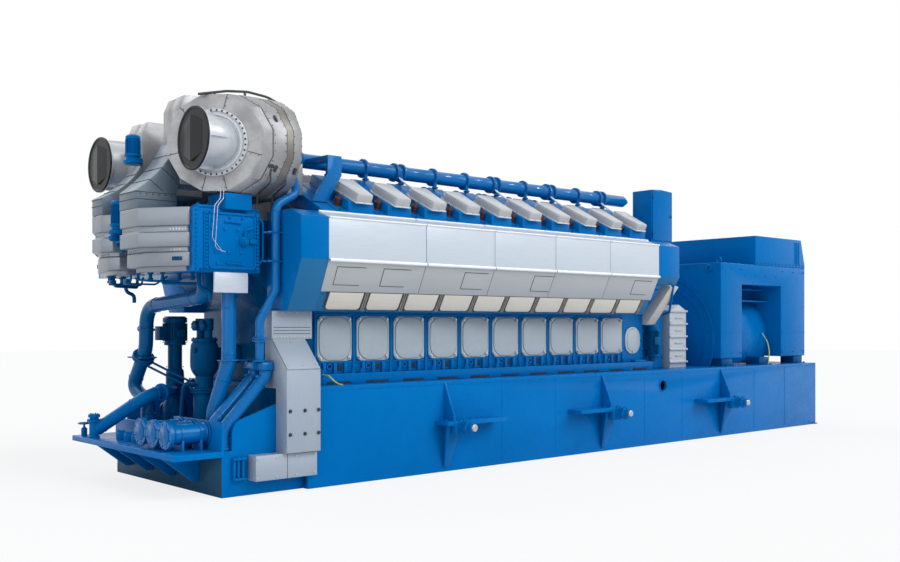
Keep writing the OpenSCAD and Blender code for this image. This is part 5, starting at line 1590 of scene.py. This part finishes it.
# %% Bracket plates and jacks
BRACKETS, SHELF_Z = (3000, 5980, 8960), 583

bm, ends = bmesh.new(), bmesh.new()
for side in SIDES:
    for x in BRACKETS:
        corners = []
        for half, y, z in ((125, 1548, SHELF_Z), (38, 1392, 66)):
            corners += [(x + dx, y - dy, z) for dx in (-half, half) for dy in (-14, 6)]
        hull(bm, course(*corners, side=side), 0.004)
        drum = facing(at(x + 70, side * 1615, SHELF_Z - 20), (0, side, 0))
        turned(bm, [(0, 0), (0.098, 0), (0.098, 0.026), (0.074, 0.032), (0.070, 0.110), (0.092, 0.114),
                    (0.092, 0.140), (0.062, 0.148), (0.056, 0.196), (0, 0.198)], drum, 28)
        bolt_circle(bm, drum @ Vector((0, 0, 0.026)), (0, side, 0), 0.086, 6, 0.018)
        bolt_circle(bm, drum @ Vector((0, 0, 0.140)), (0, side, 0), 0.078, 6, 0.016)
        box(bm, *course((x - 60, 1560, SHELF_Z - 120), (x + 170, 1630, SHELF_Z + 48), side=side), 0.010)
        turned(ends, [(0, 0), (0.040, 0), (0.044, 0.006), (0.044, 0.026), (0.036, 0.034), (0.014, 0.034),
                      (0.010, 0.024), (0, 0.024)], drum @ Matrix.Translation((0, 0, 0.198)), 24)
        for dx in (200, -90):
            bolt(bm, at(x + dx, side * 1500, SHELF_Z + 50), UP, 0.030)
finished("bracket_jack_housings", bm, CAST_BLUE, "bracket_jacks")
finished("bracket_jack_ends", ends, ZINC)

# %% [markdown]
# ## The flywheel end
#
# Behind the last cylinder come the control cabinet, the ribbed cover of the auxiliary drive
# and the turning gear, a small finned motor that turns the crankshaft for inspection.

# %% Control cabinet
(x0, y0, z0), (x1, y1, z1) = (7630, -1000, 3100), (8165, -630, 3920)
middle = ((x0 + x1) / 2, (y0 + y1) / 2, (z0 + z1) / 2)
door, flank = rounded_rectangle(0.500, 0.770, 0.010, 3), rounded_rectangle(0.330, 0.770, 0.010, 3)

bm, trim = bmesh.new(), bmesh.new()
body = [at(x, y, z) for z in (z0, z1 - 16) for x in (x0, x1) for y in (y0, y1)]
hull(bm, body + [at(middle[0], y, z1) for y in (y0, y1)], 0.008)
outline_plate(bm, door, 0.012, on_side(-1, middle[0], middle[2] - 4, 30), 0.003)
outline_plate(bm, flank, 0.010, facing(at(x0, middle[1], middle[2] - 4), (-1, 0, 0)), 0.003)
for z in (z0 + 110, z1 - 130):
    box(trim, at(x0 + 14, y0 - 24, z - 30), at(x0 + 26, y0 - 8, z + 30), 0.003)
turned(trim, [(0, 0), (0.018, 0), (0.018, 0.010), (0.010, 0.014), (0, 0.014)],
       facing(at(x1 - 50, y0 - 13, middle[2]), (0, -1, 0)), 18)
finished("control_cabinet_sheet", bm, BLUE, "control_cabinet")
finished("control_cabinet_trim", trim, DARK_METAL)

# %% Ribbed cover
copy = from_cad("ribbed_cover")
soften(copy, 0.005)
low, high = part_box("ribbed_cover")
for k in range(4):
    z = low.z + 0.19 + k * 0.20
    box(copy, (low.x + 0.16, low.y + 0.012, z), (high.x - 0.10, low.y + 0.034, z + 0.012), 0.003)
for x in (low.x + 0.05, high.x - 0.05):
    for k in range(5):
        bolt(copy, (x, low.y + 0.030, low.z + 0.16 + k * 0.19), (0, -1, 0), 0.018)
finished("ribbed_cover_casting", copy, GREY_LIGHT, "ribbed_cover")

# %% Turning gear
bm = bmesh.new()
gear = at(7640, -1010, 1230)
turned(bm, [(0, 0), (0.060, 0), (0.060, 0.070), (0.092, 0.078), (0.092, 0.104), (0.086, 0.108), (0.086, 0.470),
            (0.098, 0.474), (0.098, 0.524), (0.080, 0.556), (0, 0.560)], facing(gear, UP), 30)
fins(bm, gear, 26, (0.080, -0.0026, 0.112), (0.100, 0.0026, 0.468))
box(bm, gear + Vector((-0.090, 0.01, 0.18)), gear + Vector((0.090, 0.110, 0.42)), 0.010)
box(bm, gear + Vector((-0.070, -0.100, 0.26)), gear + Vector((0.050, -0.070, 0.38)), 0.008)
finished("turning_gear_motor", bm, DEEP_BLUE, "turning_gear")

# %% Rod, lugs and small fittings at the end of the block
bm = bmesh.new()
for side in SIDES:
    tube(bm, course((7500, 1500, 2380), (7760, 1240, 1990), (7800, 1100, 1960), side=side), 0.020, 0.06, 12)
    turned(bm, [(0, 0), (0.030, 0), (0.030, 0.02), (0.018, 0.03), (0, 0.03)],
           facing(at(7330, side * 1620, 2392), (0, 0, -1)), 16)
    box(bm, *course((7160, 970, 1230), (7420, 1056, 1262), side=side), 0.008)
    for z in (1300, 1420, 1560, 1700):
        bolt(bm, at(7412, side * 970, z), (0, side, 0), 0.026)
    for k in range(6):
        bolt(bm, at(7520 + k * 100, side * 900, 1290), (0, side, 0), 0.028)
    for z in range(1960, 2761, 200):
        box(bm, *course((7470, 896, z), (8040, 930, z + 18), side=side), 0.004)
finished("end_drive_fittings", bm, CAST_BLUE)

# %% [markdown]
# ## The generator
#
# The generator frame is welded from plate, with an opening over the round stator on each
# side and an air hood on top. A thin joint runs round it at half height. Bolts hold the
# hood, the louvres let the cooling air out, and lifting eyes stand on its shoulders.

# %% Hood with louvres
copy = from_cad("generator_hood")
soften(copy, 0.008)
low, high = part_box("generator_hood")
GEN_LOW, GEN_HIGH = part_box("generator_frame")
GEN_WALL = -GEN_LOW.y
for side in SIDES:
    wall = side * GEN_WALL
    for k in range(3):
        x = high.x - 0.34 + k * 0.062
        box(copy, (x, wall - side * 0.001, low.z + 0.05), (x + 0.020, wall + side * 0.010, high.z - 0.05), 0.003)
    bolt_row(copy, (low.x + 0.06, wall, low.z + 0.035), (high.x - 0.06, wall, low.z + 0.035), 14, (0, side, 0), 0.018)
    box(copy, (low.x, wall, low.z + 0.002), (high.x, wall + side * 0.006, low.z + 0.012), 0.001)
bolt_row(copy, (low.x, -1.15, low.z + 0.035), (low.x, 1.15, low.z + 0.035), 16, (-1, 0, 0), 0.018)
box(copy, (low.x - 0.005, -0.35, low.z), (low.x + 0.001, -0.335, high.z - 0.02), 0.001)
finished("hood_sheets", copy, BLUE, "generator_hood")

# %% Joints, shelves and bolts of the sides
bm = bmesh.new()
SEAM_Z = 1.660
CRANK = CRANK_Z * MM
x0, x1 = GEN_LOW.x, GEN_HIGH.x
WINDOW = [corner.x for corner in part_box("generator_stator")]
for side in SIDES:
    wall = side * GEN_WALL
    for a, b in ((x0, WINDOW[0]), (WINDOW[1], x1)):
        box(bm, (a, wall - side * 0.001, SEAM_Z), (b, wall + side * 0.004, SEAM_Z + 0.012), 0.001)
        for share in (0.06, 0.5, 0.94):
            for z in (1.32, 2.74):
                bolt(bm, (a + (b - a) * share, wall, z), (0, side, 0), 0.020)
    upper_y = 0.960 if side < 0 else 0.880
    box(bm, (WINDOW[0] + 0.01, side * 0.602, 2.200), (WINDOW[1] - 0.01, side * 0.960, 2.222), 0.004)
    box(bm, (WINDOW[0] + 0.20, side * 0.602, 2.400), (WINDOW[1] - 0.25, side * upper_y, 2.416), 0.003)
    for k in range(4):
        bolt(bm, (WINDOW[0] + 0.1 + k * 0.32, wall, 2.64), (0, side, 0), 0.018)
    eye = Vector((x0 + 0.16, side * 1.05, GEN_HIGH.z + 0.050))
    turned(bm, [(0.030, -0.012), (0.055, -0.012), (0.055, 0.012), (0.030, 0.012), (0.030, -0.012)],
           facing(eye, ALONG), 20)
    turned(bm, [(0.026, 0), (0.060, 0), (0.060, 0.034), (0.052, 0.040), (0.026, 0.040), (0.022, 0.030),
                (0.022, 0.004), (0.026, 0)], facing((x0, side * 0.98, 2.74), (-1, 0, 0)), 24)
print("sides of the generator:", len(bm.faces), "faces")

# %% Rings, bolts and louvres of the ends
face = x0 - 0.032
for radius in (1.060, 0.900):
    part = bmesh.new()
    turned(part, [(radius - 0.010, -0.002), (radius + 0.010, -0.002), (radius + 0.010, 0.010), (radius - 0.010, 0.010),
                  (radius - 0.010, -0.002)], facing((face, 0, CRANK), (-1, 0, 0)), 72)
    bmesh.ops.bisect_plane(part, geom=part.verts[:] + part.edges[:] + part.faces[:], clear_inner=True,
                           plane_co=(0, 0, BASE_TOP + 0.004), plane_no=UP)
    join(bm, part)
for k in range(17):
    angle = math.radians(-20 + 220 * k / 16)
    spot = Vector((face + 0.002, 0.985 * math.cos(angle), CRANK + 0.985 * math.sin(angle)))
    if spot.z > BASE_TOP + 0.05:
        bolt(bm, spot, (-1, 0, 0), 0.028)
bolt_row(bm, (x0, -1.15, 2.78), (x0, 1.15, 2.78), 12, (-1, 0, 0), 0.020)
for z in (GEN_LOW.z + 0.06, GEN_HIGH.z - 0.05):
    bolt_row(bm, (x1, -1.15, z), (x1, 1.15, z), 14, ALONG, 0.020)
for y in (-1.15, 1.15):
    bolt_row(bm, (x1, y, GEN_LOW.z + 0.2), (x1, y, GEN_HIGH.z - 0.2), 8, ALONG, 0.020)
for y in (-0.45, 0.44):
    box(bm, (x1 - 0.001, y, GEN_LOW.z + 0.01), (x1 + 0.004, y + 0.01, GEN_HIGH.z - 0.01), 0.001)
for k in range(9):
    z = GEN_LOW.z + 0.35 + 0.05 * k
    box(bm, (x1 - 0.001, -0.32, z), (x1 + 0.012, 0.32, z + 0.022), 0.003)
finished("generator_joints", bm, BLUE)

# %% Rivet rows on the stator
bm = bmesh.new()
for x in (WINDOW[0] + 0.30, WINDOW[0] + 0.62, WINDOW[0] + 0.94):
    for side in SIDES:
        for k in range(10):
            angle = math.radians(-22 + 60 * k / 9)
            out = Vector((0, side * math.cos(angle), math.sin(angle)))
            rivet(bm, Vector((x, 0, CRANK)) + out * 0.930, out, 0.009, 0.006, 0.008)
finished("stator_rivets", bm, DEEP_BLUE)

# %% [markdown]
# ## Frame details and earth wires
#
# A ring is welded round the opening in each girder, weld beads run along and up the sides
# of the frame, and yellow and green earth wires bond the engine and the generator to it. A
# wire stands off a little below its upper cable shoe and sags towards its lower one.

# %% Hole rings, weld seams and foot bolts
bm = bmesh.new()
low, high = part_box("generator_feet")
for side in SIDES:
    wall = side * BASE_SIDE
    hole = at(7414, 0, 876)
    ring(bm, (hole.x, wall + side * 0.003, hole.z), (0, side, 0), 0.080, 0.094, 0.012, 36)
    seam(bm, *[Vector((at(x, 0, 0).x, wall, BASE_TOP - 0.042)) for x in (1000, 11990)], 0.004)
    for x in (3980, 5000, 6960, 7900, 9950, 10930):
        seam(bm, *course((x, 1375, 60), (x, 1375, 1060), side=side))
    for k in range(3):
        x = low.x + 0.15 + k * (high.x - low.x - 0.30) / 2
        for dx in (-0.09, 0.09):
            bolt(bm, (x + dx, side * 1.245, BASE_TOP), UP, 0.040)
    box(bm, *course((11940, 1375, 2), (12030, 1395, 22), side=side), 0.002)
finished("frame_details", bm, BLUE)

# %% Earth wires
bm = bmesh.new()
for side in SIDES:
    for wire in (((1399, 1084, 1222), (1420, 1200, 1200), (1540, 1260, 1112)),
                 ((10900, 960, 1640), (10860, 1120, 1330), (10640, 1230, 1116))):
        a, b, c = course(*wire, side=side)
        route = [a, a.lerp(b, 0.5) + Vector((0, side * 0.03, 0.01)), b, b.lerp(c, 0.5) + Vector((0, 0, -0.02)), c]
        tube(bm, route, 0.009, 0.2, 10)
        for spot in (a, c):
            bolt(bm, spot, UP, 0.020)
finished("earth_wires", bm, EARTH)

# %% [markdown]
# ## Closing
#
# The visual model may pass the imported solids by a few centimetres at most.
